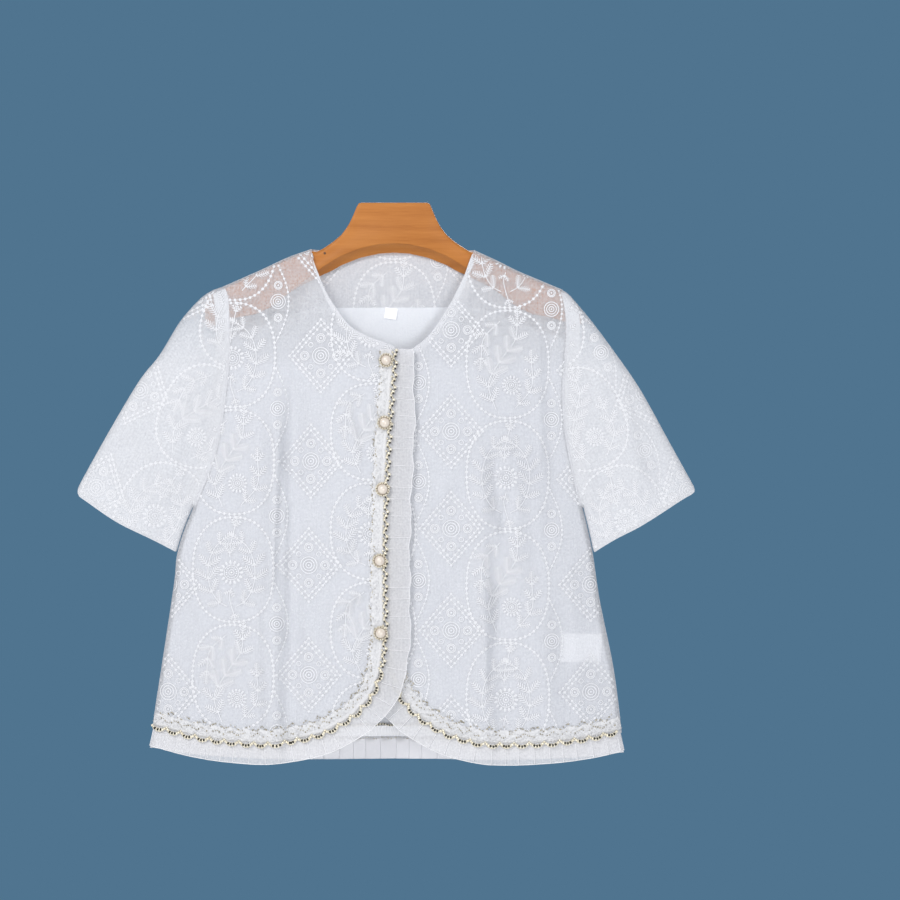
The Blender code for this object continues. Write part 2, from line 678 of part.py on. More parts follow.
def make_hanger():
    """The wooden hanger: sections along X, with rounded upper edges."""
    fractions = np.concatenate([[0.985, 0.94], np.linspace(0.88, 0.44, 7),
                                [0.405, 0.365, 0.32, 0.275, 0.24, 0.215, 0.192, 0.18]])
    rings = []
    for side, sign in (("right", -1.0), ("left", 1.0)):
        reach = abs(HANGER_END[side])
        stations = [reach] + [reach * f for f in fractions]
        half = [(sign * r, hanger_section(sign * r, side)) for r in stations]
        rings += half if side == "right" else [(0.0, hanger_section(0.0, "left"))] + half[::-1]
    points, faces = [], []
    for number, (x, section) in enumerate(rings):
        narrow = 0.62 if number in (0, len(rings) - 1) else 1.0
        middle = np.mean([z for y, z in section])
        points += [(x, y * narrow, middle + (z - middle) * narrow) for y, z in section]
    count = len(rings[0][1])
    for k in range(len(rings) - 1):
        for j in range(count):
            n = (j + 1) % count
            faces.append((k * count + j, k * count + n, (k + 1) * count + n, (k + 1) * count + j))
    faces.append(tuple(range(count))[::-1])
    faces.append(tuple(range((len(rings) - 1) * count, len(rings) * count)))
    return make_object("hanger", (points, faces), "wood")


def main():
    for thing in list(bpy.data.objects):
        bpy.data.objects.remove(thing)
    make_hanger()
    make_front("right")
    make_front("left")
    make_back()
    make_sleeve("right")
    make_sleeve("left")
    for number, (x, z) in enumerate(BUTTONS, 1):
        make_button(number, x, z)
    make_label("size_label", SIZE_LABEL, "back", WALL + GAP + LINING_WALL + GAP)
    make_label("care_label", CARE_LABEL, "front", WALL + GAP)


main()
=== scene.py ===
"""The looks of an embroidered chiffon blouse on a wooden hanger.

The blouse hangs in the XZ plane and its front faces -Y. Every cloth lies on one
hung shape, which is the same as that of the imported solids: depth() gives how far
a face stands off the middle plane. Tables and lengths are in millimetres and the
meshes are made in metres. "Right" and "left" are the wearer's.
"""

import bpy
import numpy as np
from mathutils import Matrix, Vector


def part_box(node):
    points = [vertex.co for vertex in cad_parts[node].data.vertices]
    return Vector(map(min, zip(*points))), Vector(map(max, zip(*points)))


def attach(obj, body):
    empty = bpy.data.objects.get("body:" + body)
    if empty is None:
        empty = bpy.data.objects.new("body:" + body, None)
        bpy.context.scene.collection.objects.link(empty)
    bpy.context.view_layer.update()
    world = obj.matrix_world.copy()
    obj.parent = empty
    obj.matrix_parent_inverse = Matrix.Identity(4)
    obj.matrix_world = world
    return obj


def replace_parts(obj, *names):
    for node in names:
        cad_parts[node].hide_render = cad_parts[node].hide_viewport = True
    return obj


MM = 0.001
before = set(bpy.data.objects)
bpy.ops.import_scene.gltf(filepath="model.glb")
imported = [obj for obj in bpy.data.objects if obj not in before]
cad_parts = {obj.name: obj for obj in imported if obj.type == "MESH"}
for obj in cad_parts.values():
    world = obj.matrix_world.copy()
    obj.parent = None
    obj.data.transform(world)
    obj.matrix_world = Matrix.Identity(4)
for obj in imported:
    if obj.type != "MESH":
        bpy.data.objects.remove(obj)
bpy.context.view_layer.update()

# Cloth and gaps: a modelled cloth, the walls of the solids, and what lies between the layers
CLOTH = 0.45
WALL = 1.2
LINING_WALL = 1.0
GAP = 0.35
SEAM_HALF_GAP = 0.17
UNDERARM_GAP = 0.9
FINE = 6

# Shape of the hung body: how far each face stands off the middle plane
SHOULDER_ROUND = 9.5
SIDE_ROUND = 7.0
DEPTH = {"front": 24.0, "back": 16.0}
SLEEVE_DEPTH = 9.0
DEPTH_REACH = 150.0
SLEEVE_REACH = 55.0
ROUND_FROM = -230.0
ROUND_OVER = 70.0
BODY_FROM = -55.0
BODY_OVER = 260.0
ARM_OVER = 45.0
FLAT_EDGE = 25.0
FRONT_LIFT = 6.8
LIFT_FROM = -95.0
LIFT_TO = -50.0
FAR = 1e9
TINY = 1e-12

# Trim and frill
TRIM_WIDTH = 15.0
FACING_WIDTH = 11.0
FRILL_WIDTH = {"neck": 16.0, "edge": 23.0, "hem": 21.0}
EDGE_RUN = 330.0
CORNER_RUN = 55.0
NECK_RUN = 90.0
FRILL_SHORT = 1.2
FRILL_STAND = 3.2
FRILL_PERSPECTIVE = 3.0
FRILL_CLOTH = 0.15
ROLLED_HEM = 0.42
PRESSED_FOLD = 0.3

# Cells of the solids' grids; each is divided by FINE here
ARMHOLE_CELLS = 10
SIDE_CELLS = 11
SHOULDER_CELLS = 8
NECK_CELLS = 10
SLEEVE_CELLS = 9
SLEEVE_HEAD_STEPS = (7.0, 16.0, 28.0)
NECK_STEPS = (4.0, 10.0)
LINING_TOP_ROW = 4
LINING_NECK_RISE = 2.0
SEAM_STEPS = (2.2, 6.5, 13.0)
SHOULDER_STEPS = (1.7, 5.0, FACING_WIDTH)
UNDERARM_STEPS = (6.5, 2.2)
FRONT_WIDTH = 240.0
BACK_WIDTH = 490.0

# Outlines seen from the front, rows of (x, z); the side seams run on past the hem
SHOULDER = {
    "right": ((-87, -48.5), (-111, -57), (-138, -69.5), (-165, -81.5), (-180, -88)),
    "left": ((84, -49.5), (108, -60.5), (129, -71), (149, -79.5), (176.5, -91)),
}
ARMHOLE = {
    "right": ((-180, -88), (-175.5, -102), (-174, -140), (-175.5, -180), (-188, -259), (-211, -320)),
    "left": ((176.5, -91), (181, -112), (182.5, -140), (179, -190), (180, -230), (188, -279),
             (198, -320)),
}
HEM_ROW = 6
SIDE = {
    "right": ((-211, -320), (-221, -345), (-228, -370), (-231, -400), (-243, -480), (-250, -525),
              (-253.5, -551), (-258, -580), (-259, -592)),
    "left": ((198, -320), (204, -345), (209, -370), (216, -417), (229, -480), (235, -520),
             (239, -556), (242, -582), (243, -594)),
}
SLEEVE_TOP = {
    "right": ((-180, -88), (-192, -92.5), (-205, -102), (-225, -125), (-246, -159.5), (-267, -186),
              (-297, -236), (-326, -288), (-331.5, -299)),
    "left": ((176.5, -91), (184, -96.5), (195, -109), (209, -126), (229, -153), (258, -195),
             (288, -249), (309, -287), (315, -298)),
}
CUFF = {
    "right": ((-331.5, -299), (-330, -307), (-322, -313), (-289, -335), (-257, -351), (-228.8, -366)),
    "left": ((315, -298), (313.5, -304.5), (300, -312.5), (260, -338), (233.5, -352), (210.0, -366.5)),
}
NECK = {
    "right": ((-87, -48.5), (-84, -62), (-79, -75), (-72, -92), (-61, -110), (-45, -130),
              (-24, -142), (-7, -148), (4, -154)),
    "left": ((84, -49.5), (79, -62), (74, -76), (66, -93), (58, -108), (38, -138),
             (20, -153), (4, -160), (-17, -167)),
}
BACK_NECK = ((-87, -48.5), (-66, -49.5), (-40, -49.5), (-3, -49.5), (36, -49.5), (62, -49.5),
             (84, -49.5))
FRONT_EDGE = {
    "right": ((4, -154), (3.5, -180), (-1, -238), (-4.5, -312), (-6, -375), (-5.5, -438),
              (-7, -470), (-11, -493), (-20, -516), (-36, -535)),
    "left": ((-17, -167), (-18, -190), (-14, -238), (-10.5, -312), (-8.5, -375), (-9, -438),
             (-7.5, -470), (-4, -493), (4, -516), (20, -536)),
}
FRONT_HEM = {
    "right": ((-36, -535), (-52, -546), (-73, -557), (-99, -564), (-130, -568), (-162, -567),
              (-204, -562), (-253.5, -551)),
    "left": ((20, -536), (37, -548), (58, -559), (84, -566), (112, -569), (162, -567.5),
             (205, -563), (239, -556)),
}
BACK_HEM = ((-253.5, -551), (-204, -560), (-130, -565), (-60, -565), (0, -564.5), (60, -565),
            (120, -566), (200, -562), (239, -556))

# Folds: (x, z) at the top, (x, z) at the bottom, width, height outwards
FOLDS = {
    "front": (
        (-104, -165, -107, -600, 11, -7.0),
        (-122, -190, -122, -600, 12, 5.0),
        (-156, -125, -150, -215, 17, -3.5),
        (-20, -312, -78, -396, 9, 2.5),
        (-10, -375, -88, -459, 9, 2.5),
        (-15, -417, -67, -522, 10, 2.5),
        (-36, -200, -12, -268, 10, -2.5),
        (108, -235, 112, -600, 11, -6.0),
        (92, -240, 94, -600, 11, 3.5),
        (38, -205, 20, -262, 10, 2.5),
        (150, -380, 165, -600, 14, 3.0),
        (-256, -262, -240, -352, 10, -3.0),
        (-285, -255, -276, -340, 11, 2.5),
        (222, -200, 217, -345, 10, -4.0),
        (245, -235, 262, -335, 11, 2.5),
    ),
    "back": (
        (-96, -190, -102, -600, 12, -6.0),
        (-116, -210, -122, -600, 12, 3.5),
        (82, -170, 90, -600, 12, -6.0),
        (104, -220, 112, -600, 12, 3.5),
        (-6, -150, -2, -600, 15, 3.0),
        (-160, -350, -176, -600, 13, 3.0),
        (160, -360, 172, -600, 13, -3.0),
        (-262, -250, -250, -350, 10, -3.0),
        (232, -210, 226, -345, 10, -3.0),
    ),
}
FOLD_FADE = 55.0

# Small creases on top of the folds, in the same rows
CREASES = {
    "front": (
        (-60, -240, -118, -330, 5, 1.0),
        (-24, -345, -82, -430, 5, -1.1),
        (-22, -400, -96, -500, 5, -1.0),
        (-40, -480, -70, -560, 6, 1.0),
        (-90, -420, -96, -560, 4, 1.2),
        (-140, -260, -152, -420, 7, 0.9),
        (-168, -300, -182, -520, 7, -1.0),
        (-200, -400, -214, -560, 7, 0.9),
        (-70, -130, -96, -210, 6, -1.0),
        (-130, -100, -140, -190, 6, 1.0),
        (24, -230, 62, -300, 6, 1.0),
        (30, -330, 70, -430, 6, -1.0),
        (40, -450, 66, -560, 6, 1.1),
        (128, -260, 132, -420, 6, 1.0),
        (140, -300, 156, -460, 6, -1.0),
        (182, -360, 196, -560, 7, 1.0),
        (70, -120, 100, -230, 6, 1.0),
        (120, -110, 140, -220, 7, -1.0),
        (160, -120, 166, -300, 6, -1.6),
        (150, -130, 154, -290, 5, 1.0),
        (-220, -150, -250, -260, 7, 1.0),
        (-205, -170, -225, -300, 6, -1.2),
        (-300, -270, -290, -340, 6, -1.0),
        (205, -150, 235, -260, 7, 1.0),
        (270, -240, 282, -330, 6, -1.0),
        (-113, -270, -112, -450, 3.4, 1.5),
        (-99, -330, -108, -470, 5, 1.4),
        (-118, -470, -109, -560, 5, -1.5),
        (98, -300, 116, -390, 7, 1.7),
        (118, -420, 108, -520, 6, 1.5),
        (103, -440, 98, -560, 4, -1.4),
        (-46, -205, 2, -262, 5, 1.2),
        (-150, -190, -128, -300, 8, -1.3),
        (-103, -285, -108, -390, 10, 3.4),
        (-107, -455, -104, -570, 10, 3.2),
        (107, -318, 114, -420, 10, 3.4),
        (114, -490, 109, -580, 9, 2.6),
        (-196, -260, -176, -380, 9, 1.6),
        (176, -250, 158, -380, 9, -1.4),
        (86, -250, 30, -330, 8, 1.5),
        (96, -350, 34, -450, 9, -1.5),
    ),
    "back": (
        (-60, -220, -66, -540, 6, 1.0),
        (40, -240, 46, -560, 6, -1.0),
        (-150, -200, -160, -420, 7, 1.0),
        (150, -210, 156, -400, 7, 1.0),
        (-204, -360, -212, -560, 7, -1.0),
        (200, -380, 204, -560, 7, 1.0),
        (-230, -160, -262, -280, 7, 1.0),
        (220, -160, 250, -280, 7, 1.0),
        (-20, -90, -60, -190, 7, 1.0),
        (20, -90, 60, -190, 7, 1.0),
    ),
}
CREASE_FADE = 30.0

# Pressed edges: (x, z) at the top, (x, z) at the bottom, width on the wearer's right of the
# line, width on its left, height; the cloth rises slowly on one side and drops off on the other
PRESSED = {
    "front": (
        (-118, -228, -127, -420, 17, 3.2, 4.4),
        (-136, -410, -132, -560, 4.0, 15, 2.6),
        (-52, -190, -30, -300, 12, 3.4, 2.0),
        (126, -236, 104, -360, 15, 4.0, 2.6),
        (92, -380, 100, -560, 4.0, 14, 2.8),
        (154, -250, 62, -345, 4.0, 15, 2.0),
        (-262, -215, -282, -330, 4.0, 12, 1.8),
        (236, -170, 262, -300, 12, 4.0, 1.8),
    ),
    "back": (
        (-132, -300, -140, -520, 15, 4.0, 2.6),
        (128, -260, 120, -480, 4.0, 15, 2.8),
        (30, -150, 60, -330, 4.0, 13, 1.8),
    ),
}

# Hanger: its neck and lower edge from the middle out, rows of (x, z)
HANGER_HALF_THICK = 5.5
HANGER_UNDER_SHOULDER = 2.0
HANGER_UNDER_SLEEVE = 2.0
HANGER_TOP = ((0, 0), (20, 0), (36, 0), (38, -1.5), (43, -14), (48, -24), (55, -33.5), (64, -41),
              (73, -47), (81, -51.5))
HANGER_LOW = ((0, -43), (16, -44), (36, -48.5), (56, -56.5), (74, -67.5), (92, -81), (112, -96),
              (130, -110), (146, -117), (165, -120.5), (184, -126), (198, -134))
HANGER_END = {"right": -198.0, "left": 196.0}
HANGER_END_ROUND = 6.0
HANGER_END_SIZE = 0.55
HANGER_BEVEL = 9.0
HANGER_CORNER = 5.2
HANGER_NECK_CORNER = 2.2
HANGER_LOW_CORNER = 1.5
HANGER_ARC = 9
HANGER_STATIONS = 150

# Buttons on the right front's trim, rows of (x, z)
BUTTONS = ((-7.5, -166), (-9, -231), (-11, -300), (-14, -374), (-13, -449))
PEARL_RADIUS = 5.3
PEARL_SEAT = 2.6
PEARL_FLATTER = 0.85
PRONGS = 15

# Labels: centre x, z, width, height, turn in degrees
LABEL_CLOTH = 0.35
SIZE_LABEL = (-3.5, -115.5, 13.0, 11.5, -9.0)
CARE_LABEL = (196.0, -466.0, 44.0, 30.0, -2.0)


# Lines and gradings

def smooth_line(rows, per_span=10):
    """A dense smooth line through the rows."""
    points = np.array(rows, float)
    padded = np.vstack([2 * points[0] - points[1], points, 2 * points[-1] - points[-2]])
    t = np.linspace(0.0, 1.0, per_span, endpoint=False)[:, None]
    spans = []
    for k in range(len(points) - 1):
        a, b, c, d = padded[k:k + 4]
        spans.append(0.5 * (2 * b + (c - a) * t + (2 * a - 5 * b + 4 * c - d) * t ** 2
                            + (3 * b - a - 3 * c + d) * t ** 3))
    return np.vstack(spans + [points[-1:]])


def lengths(line):
    """The running length at each point of a line."""
    return np.concatenate([[0.0], np.cumsum(np.linalg.norm(np.diff(line, axis=0), axis=1))])


def along(line, fractions):
    """Points of a line at fractions of its length."""
    run = lengths(line)
    where = np.asarray(fractions) * run[-1]
    return np.stack([np.interp(where, run, line[:, k]) for k in range(line.shape[1])], axis=-1)


def graded(length, first, last, cells):
    """Fractions of a length: given steps at both ends, even ones between."""
    start = [0.0] + list(first)
    end = [length - step for step in last] + [length]
    even = np.linspace(start[-1], end[0], cells - len(first) - len(last) + 1)
    return np.concatenate([start[:-1], even, end[1:]]) / length


def refine(fractions, times=FINE):
    """Each step of a grading divided evenly."""
    steps = len(fractions) - 1
    return np.interp(np.arange(steps * times + 1) / times, np.arange(steps + 1), fractions)


def ease(t):
    """A soft step from 0 to 1."""
    t = np.clip(t, 0.0, 1.0)
    return t * t * (3.0 - 2.0 * t)


def distance(x, z, line):
    """Distance of points from a line, in the XZ plane."""
    best = np.full(np.shape(x), FAR)
    for (ax, az), (bx, bz) in zip(line[:-1], line[1:]):
        dx, dz = bx - ax, bz - az
        t = np.clip(((x - ax) * dx + (z - az) * dz) / (dx * dx + dz * dz + TINY), 0.0, 1.0)
        best = np.minimum(best, np.hypot(x - ax - t * dx, z - az - t * dz))
    return best


TOP_LINE = {s: np.vstack([smooth_line(SHOULDER[s]), smooth_line(SLEEVE_TOP[s])]) for s in SHOULDER}
SIDE_LINE = {s: smooth_line(SIDE[s]) for s in SIDE}
BODY_EDGE = {s: np.vstack([smooth_line(ARMHOLE[s]), SIDE_LINE[s][1:]]) for s in SIDE}
UNDERARM_Z = SIDE["right"][0][1]


# The hung shape: how far the cloth stands off the middle plane

def inset(x, z):
    """Distance inside the armholes and side seams, negative on the sleeves."""
    right, left = BODY_EDGE["right"][::-1], BODY_EDGE["left"][::-1]
    from_right = x - np.interp(z, right[:, 1], right[:, 0])
    from_left = np.interp(z, left[:, 1], left[:, 0]) - x
    return np.minimum(from_right, from_left)


def fold_height(x, z, folds, fade):
    """Sum of the folds, each a soft ridge or trough along its own line."""
    total = np.zeros(np.shape(x))
    for x_top, z_top, x_low, z_low, *widths, height in folds:
        dx, dz = x_low - x_top, z_low - z_top
        size = np.hypot(dx, dz)
        t = ((x - x_top) * dx + (z - z_top) * dz) / size
        across = ((x - x_top) * dz - (z - z_top) * dx) / size
        window = ease(t / fade) * ease((size - t) / fade)
        width = np.where(across > 0.0, widths[0], widths[-1])
        total += height * np.exp(-(across / width) ** 2) * window
    return total


def depth(x, z, face, sleeve=False):
    """Distance of the cloth's outer surface from the middle plane."""
    inside = inset(x, z)
    edge = np.full(np.shape(x), FAR)
    for side in ("right", "left"):
        edge = np.minimum(edge, distance(x, z, TOP_LINE[side]))
        edge = np.minimum(edge, distance(x, z, SIDE_LINE[side]))
    if not sleeve:
        edge = np.where((inside < 0.0) & (z < UNDERARM_Z), 0.0, edge)
    radius = SIDE_ROUND + (SHOULDER_ROUND - SIDE_ROUND) * ease((z - ROUND_FROM) / ROUND_OVER)
    t = np.clip(edge / radius, 0.0, 1.0)
    rounding = radius * np.sqrt(1.0 - (1.0 - t) ** 2)
    body = DEPTH[face] * (1.0 - (1.0 - np.clip(inside / DEPTH_REACH, 0.0, 1.0)) ** 2)
    body = body * ease((BODY_FROM - z) / BODY_OVER)
    arm = SLEEVE_DEPTH * (1.0 - (1.0 - np.clip(edge / SLEEVE_REACH, 0.0, 1.0)) ** 2)
    arm = arm * ease(-inside / ARM_OVER)
    creases = fold_height(x, z, FOLDS[face], FOLD_FADE)
    creases += fold_height(x, z, CREASES[face] + PRESSED[face], CREASE_FADE)
    return SEAM_HALF_GAP + rounding + body + arm + creases * ease(edge / FLAT_EDGE)


def lift(x):
    """The right front stands off where it closes over the left one."""
    return FRONT_LIFT * ease((x - LIFT_FROM) / (LIFT_TO - LIFT_FROM))


# Each cloth: its face, whether it is the lifted front, whether it is a sleeve
CLOTHS = {
    "front_right": ("front", True, False),
    "front_left": ("front", False, False),
    "back": ("back", False, False),
    "sleeve_front": ("front", False, True),
    "sleeve_back": ("back", False, True),
}
SLOPE_STEP = 0.4
SLOPE_LIMIT = 3.0


def on_cloth(x, z, cloth, out):
    """Points (x, y, z) at a distance out from a cloth's outer surface."""
    face, lifted, sleeve = CLOTHS[cloth]

    def height(px, pz):
        """How far the cloth stands out there."""
        stand = depth(px, pz, face, sleeve)
        return stand + lift(px) if lifted else stand

    x, z = np.asarray(x, float), np.asarray(z, float)
    here = height(x, z)
    slope_x = np.clip((height(x + SLOPE_STEP, z) - here) / SLOPE_STEP, -SLOPE_LIMIT, SLOPE_LIMIT)
    slope_z = np.clip((height(x, z + SLOPE_STEP) - here) / SLOPE_STEP, -SLOPE_LIMIT, SLOPE_LIMIT)
    scale = out / np.sqrt(1.0 + slope_x ** 2 + slope_z ** 2)
    toward = -1.0 if face == "front" else 1.0
    return np.stack([x - slope_x * scale, toward * (here + scale), z - slope_z * scale], axis=-1)


def surface(points, face, lifted=False, sleeve=False):
    """The (x, y, z) points of a face over points of the XZ plane."""
    x, z = points[..., 0], points[..., 1]
    out = depth(x, z, face, sleeve)
    if lifted:
        out = out + lift(x)
    y = -out if face == "front" else out
    return np.stack([x, y, z], axis=-1)


# Grids

def coons(top, bottom, start, end, u, v):
    """A grid between four lines; start and end join top to bottom."""
    u, v = u[:, None, None], v[None, :, None]
    across = (1 - v) * top[:, None] + v * bottom[:, None]
    down = (1 - u) * start[None] + u * end[None]
    corners = ((1 - u) * (1 - v) * top[0] + u * (1 - v) * top[-1]
               + (1 - u) * v * bottom[0] + u * v * bottom[-1])
    return across + down - corners


def grid_normals(grid, face, wrapped=False):
    """Unit normals of a grid, pointing out of the garment."""
    du = np.gradient(grid, axis=0)
    if wrapped:
        dv = np.roll(grid, -1, axis=1) - np.roll(grid, 1, axis=1)
    else:
        dv = np.gradient(grid, axis=1)
    normal = np.cross(du, dv)
    normal /= np.linalg.norm(normal, axis=-1, keepdims=True) + TINY
    if wrapped:
        middle = grid.mean(axis=1, keepdims=True)
        outward = np.sum(normal * (grid - middle), axis=-1).mean()
    else:
        outward = normal[..., 1].mean() * (-1.0 if face == "front" else 1.0)
    return normal if outward > 0 else -normal


def level_edge(normals, rows):
    """Turn the normals of seam points into the garment's middle plane."""
    edge = normals[rows]
    edge[..., 1] = 0.0
    normals[rows] = edge / (np.linalg.norm(edge, axis=-1, keepdims=True) + TINY)


def across_line(points, toward):
    """Unit directions square to a line in the XZ plane, on the given side of X."""
    tangent = np.gradient(points, axis=0)
    square = np.stack([tangent[:, 1], -tangent[:, 0]], axis=1)
    square /= np.linalg.norm(square, axis=1, keepdims=True)
    return square * np.where(square[:, :1] * toward < 0, -1.0, 1.0)


def side_rows():
    """Row fractions down the armhole and the side, and the armhole's alone."""
    run_arm = lengths(smooth_line(ARMHOLE["right"]))[-1]
    run_side = lengths(smooth_line(SIDE["right"][:HEM_ROW + 1]))[-1]
    arm = graded(run_arm, SHOULDER_STEPS, UNDERARM_STEPS, ARMHOLE_CELLS)
    below = graded(run_side, (), (TRIM_WIDTH,), SIDE_CELLS)
    share = run_arm / (run_arm + run_side)
    rows = np.concatenate([arm * share, share + below[1:] * (1 - share)])
    return refine(rows), refine(arm), refine(below)


def body_side(side, arm, below):
    """Points down one armhole and side seam to the hem."""
    seam = smooth_line(SIDE[side][:HEM_ROW + 1])
    return np.vstack([along(smooth_line(ARMHOLE[side]), arm), along(seam, below[1:])])


class Panel:
    """A front or back: its grid on the hung surface and the normals there."""

    def __init__(self, cloth, top, bottom, start, end, u, v):
        self.cloth = cloth
        self.face, lifted, _ = CLOTHS[cloth]
        self.flat = coons(top, bottom, start, end, u, v)
        self.grid = surface(self.flat, self.face, lifted)
        self.normals = grid_normals(self.grid, self.face)

    def at(self, out):
        """The panel's grid moved out along its normals."""
        return self.grid + self.normals * np.asarray(out)[..., None]


def front_panel(side):
    """One front, from its side seam (u = 0) to its front edge (u = 1)."""
    v, arm, below = side_rows()
    u = graded(FRONT_WIDTH, SEAM_STEPS, (TRIM_WIDTH,), SHOULDER_CELLS + NECK_CELLS)
    share = u[SHOULDER_CELLS]
    u = refine(u)
    shoulder = smooth_line(SHOULDER[side])[::-1]
    neck = smooth_line(NECK[side])
    corner = SHOULDER_CELLS * FINE
    neck_steps = refine(graded(lengths(neck)[-1], NECK_STEPS, (TRIM_WIDTH,), NECK_CELLS))
    top = np.vstack([along(shoulder, u[:corner + 1] / share), along(neck, neck_steps[1:])])
    bottom = along(smooth_line(FRONT_HEM[side])[::-1], u)
    end = along(smooth_line(FRONT_EDGE[side]), v)
    panel = Panel("front_" + side, top, bottom, body_side(side, arm, below), end, u, v)
    level_edge(panel.normals, (slice(0, corner + 1), 0))
    level_edge(panel.normals, (0, slice(None)))
    return panel


def back_panel():
    """The back, from the right side seam (u = 0) to the left one (u = 1)."""
    v, arm, below = side_rows()
    u = refine(graded(BACK_WIDTH, SEAM_STEPS, SEAM_STEPS[::-1], 2 * SHOULDER_CELLS + NECK_CELLS))
    low, high = SHOULDER_CELLS * FINE, (SHOULDER_CELLS + NECK_CELLS) * FINE
    right = along(smooth_line(SHOULDER["right"])[::-1], u[:low + 1] / u[low])
    neck = smooth_line(BACK_NECK)
    neck_steps = refine(graded(lengths(neck)[-1], NECK_STEPS, NECK_STEPS[::-1], NECK_CELLS))
    left = along(smooth_line(SHOULDER["left"]), (u[high:] - u[high]) / (1 - u[high]))
    top = np.vstack([right, along(neck, neck_steps[1:-1]), left])
    bottom = along(smooth_line(BACK_HEM), u)
    sides = [body_side(side, arm, below) for side in ("right", "left")]
    panel = Panel("back", top, bottom, *sides, u, v)
    level_edge(panel.normals, (slice(0, low + 1), 0))
    level_edge(panel.normals, (slice(high, None), 0))
    level_edge(panel.normals, (0, slice(None)))
    level_edge(panel.normals, (-1, slice(None)))
    return panel


# Materials

def new_material(name, colour, rough, metallic=0.0, alpha=1.0, sheen=0.0, coat=0.0):
    """A Principled material, its shader and its tree."""
    material = bpy.data.materials.new(name)
    material.use_nodes = True
    shader = material.node_tree.nodes["Principled BSDF"]
    shader.inputs["Base Color"].default_value = (*colour, 1.0)
    shader.inputs["Roughness"].default_value = rough
    shader.inputs["Metallic"].default_value = metallic
    shader.inputs["Alpha"].default_value = alpha
    shader.inputs["Sheen Weight"].default_value = sheen
    shader.inputs["Sheen Roughness"].default_value = 0.4
    shader.inputs["Coat Weight"].default_value = coat
    return material, shader, material.node_tree


def add_node(tree, kind, settings=(), **inputs):
    """A node with some of its settings and input values."""
    node = tree.nodes.new(kind)
    for key, value in dict(settings).items():
        setattr(node, key, value)
    for key, value in inputs.items():
        node.inputs[key.replace("_", " ")].default_value = value
    return node


def grain(tree):
    """The UV coordinates, which run along the cloth's grain in metres."""
    return add_node(tree, "ShaderNodeUVMap", {"uv_map": "grain"}).outputs["UV"]


def wave(tree, vector, direction, period):
    """Parallel bands with a period in metres."""
    node = add_node(tree, "ShaderNodeTexWave", {"bands_direction": direction}, Scale=0.314 / period,
                    Distortion=0.6, Detail=1.0)
    node.inputs["Detail Scale"].default_value = 0.4
    tree.links.new(vector, node.inputs["Vector"])
    return node.outputs["Fac"]


def noise(tree, vector, scale, stretch=(1.0, 1.0, 1.0), detail=3.0):
    """Noise with a scale in cycles per metre."""
    mapping = add_node(tree, "ShaderNodeMapping", Scale=stretch)
    node = add_node(tree, "ShaderNodeTexNoise", Scale=scale, Detail=detail)
    tree.links.new(vector, mapping.inputs["Vector"])
    tree.links.new(mapping.outputs["Vector"], node.inputs["Vector"])
    return node.outputs["Fac"]


def combine(tree, operation, first, second):
    """A math node of two sockets or numbers."""
    node = add_node(tree, "ShaderNodeMath", {"operation": operation})
    for socket, value in zip(node.inputs, (first, second)):
        if isinstance(value, (int, float)):
            socket.default_value = value
        else:
            tree.links.new(value, socket)
    return node.outputs["Value"]


def weighted(tree, *terms):
    """The sum of sockets, each times its weight."""
    total = None
    for socket, weight in terms:
        part = combine(tree, "MULTIPLY", socket, weight)
        total = part if total is None else combine(tree, "ADD", total, part)
    return total


def mapped(tree, value, start, end, low=0.0, high=1.0):
    """A value mapped from start and end to low and high, and held there beyond them."""
    node = add_node(tree, "ShaderNodeMapRange", From_Min=start, From_Max=end, To_Min=low, To_Max=high)
    tree.links.new(value, node.inputs["Value"])
    return node.outputs["Result"]


def object_place(tree):
    """The place on the object, in metres."""
    return add_node(tree, "ShaderNodeTexCoord").outputs["Object"]


def ramp(tree, value, stops):
    """A colour ramp through (position, colour) stops."""
    node = add_node(tree, "ShaderNodeValToRGB")
    while len(node.color_ramp.elements) < len(stops):
        node.color_ramp.elements.new(0.5)
    for element, (position, colour) in zip(node.color_ramp.elements, stops):
        element.position = position
        element.color = (*colour, 1.0)
    tree.links.new(value, node.inputs["Fac"])
    return node.outputs["Color"]


def bump(tree, shader, height, strength, distance_out):
    """A bump on a shader's normal, with its depth in metres."""
    node = add_node(tree, "ShaderNodeBump", Strength=strength, Distance=distance_out)
    tree.links.new(height, node.inputs["Height"])
    tree.links.new(node.outputs["Normal"], shader.inputs["Normal"])


def seed_stitches(tree, uv):
    """Small stitches strewn over the ground in patches, from 0 to 1."""
    cells = add_node(tree, "ShaderNodeTexVoronoi", Scale=330.0, Randomness=0.75)
    tree.links.new(uv, cells.inputs["Vector"])
    seed = mapped(tree, cells.outputs["Distance"], 0.42, 0.18)
    patch = mapped(tree, noise(tree, uv, 45.0), 0.38, 0.55, 0.25, 1.0)
    return combine(tree, "MULTIPLY", seed, patch)


DENSER_FROM = -118.0
DENSER_TO = -175.0


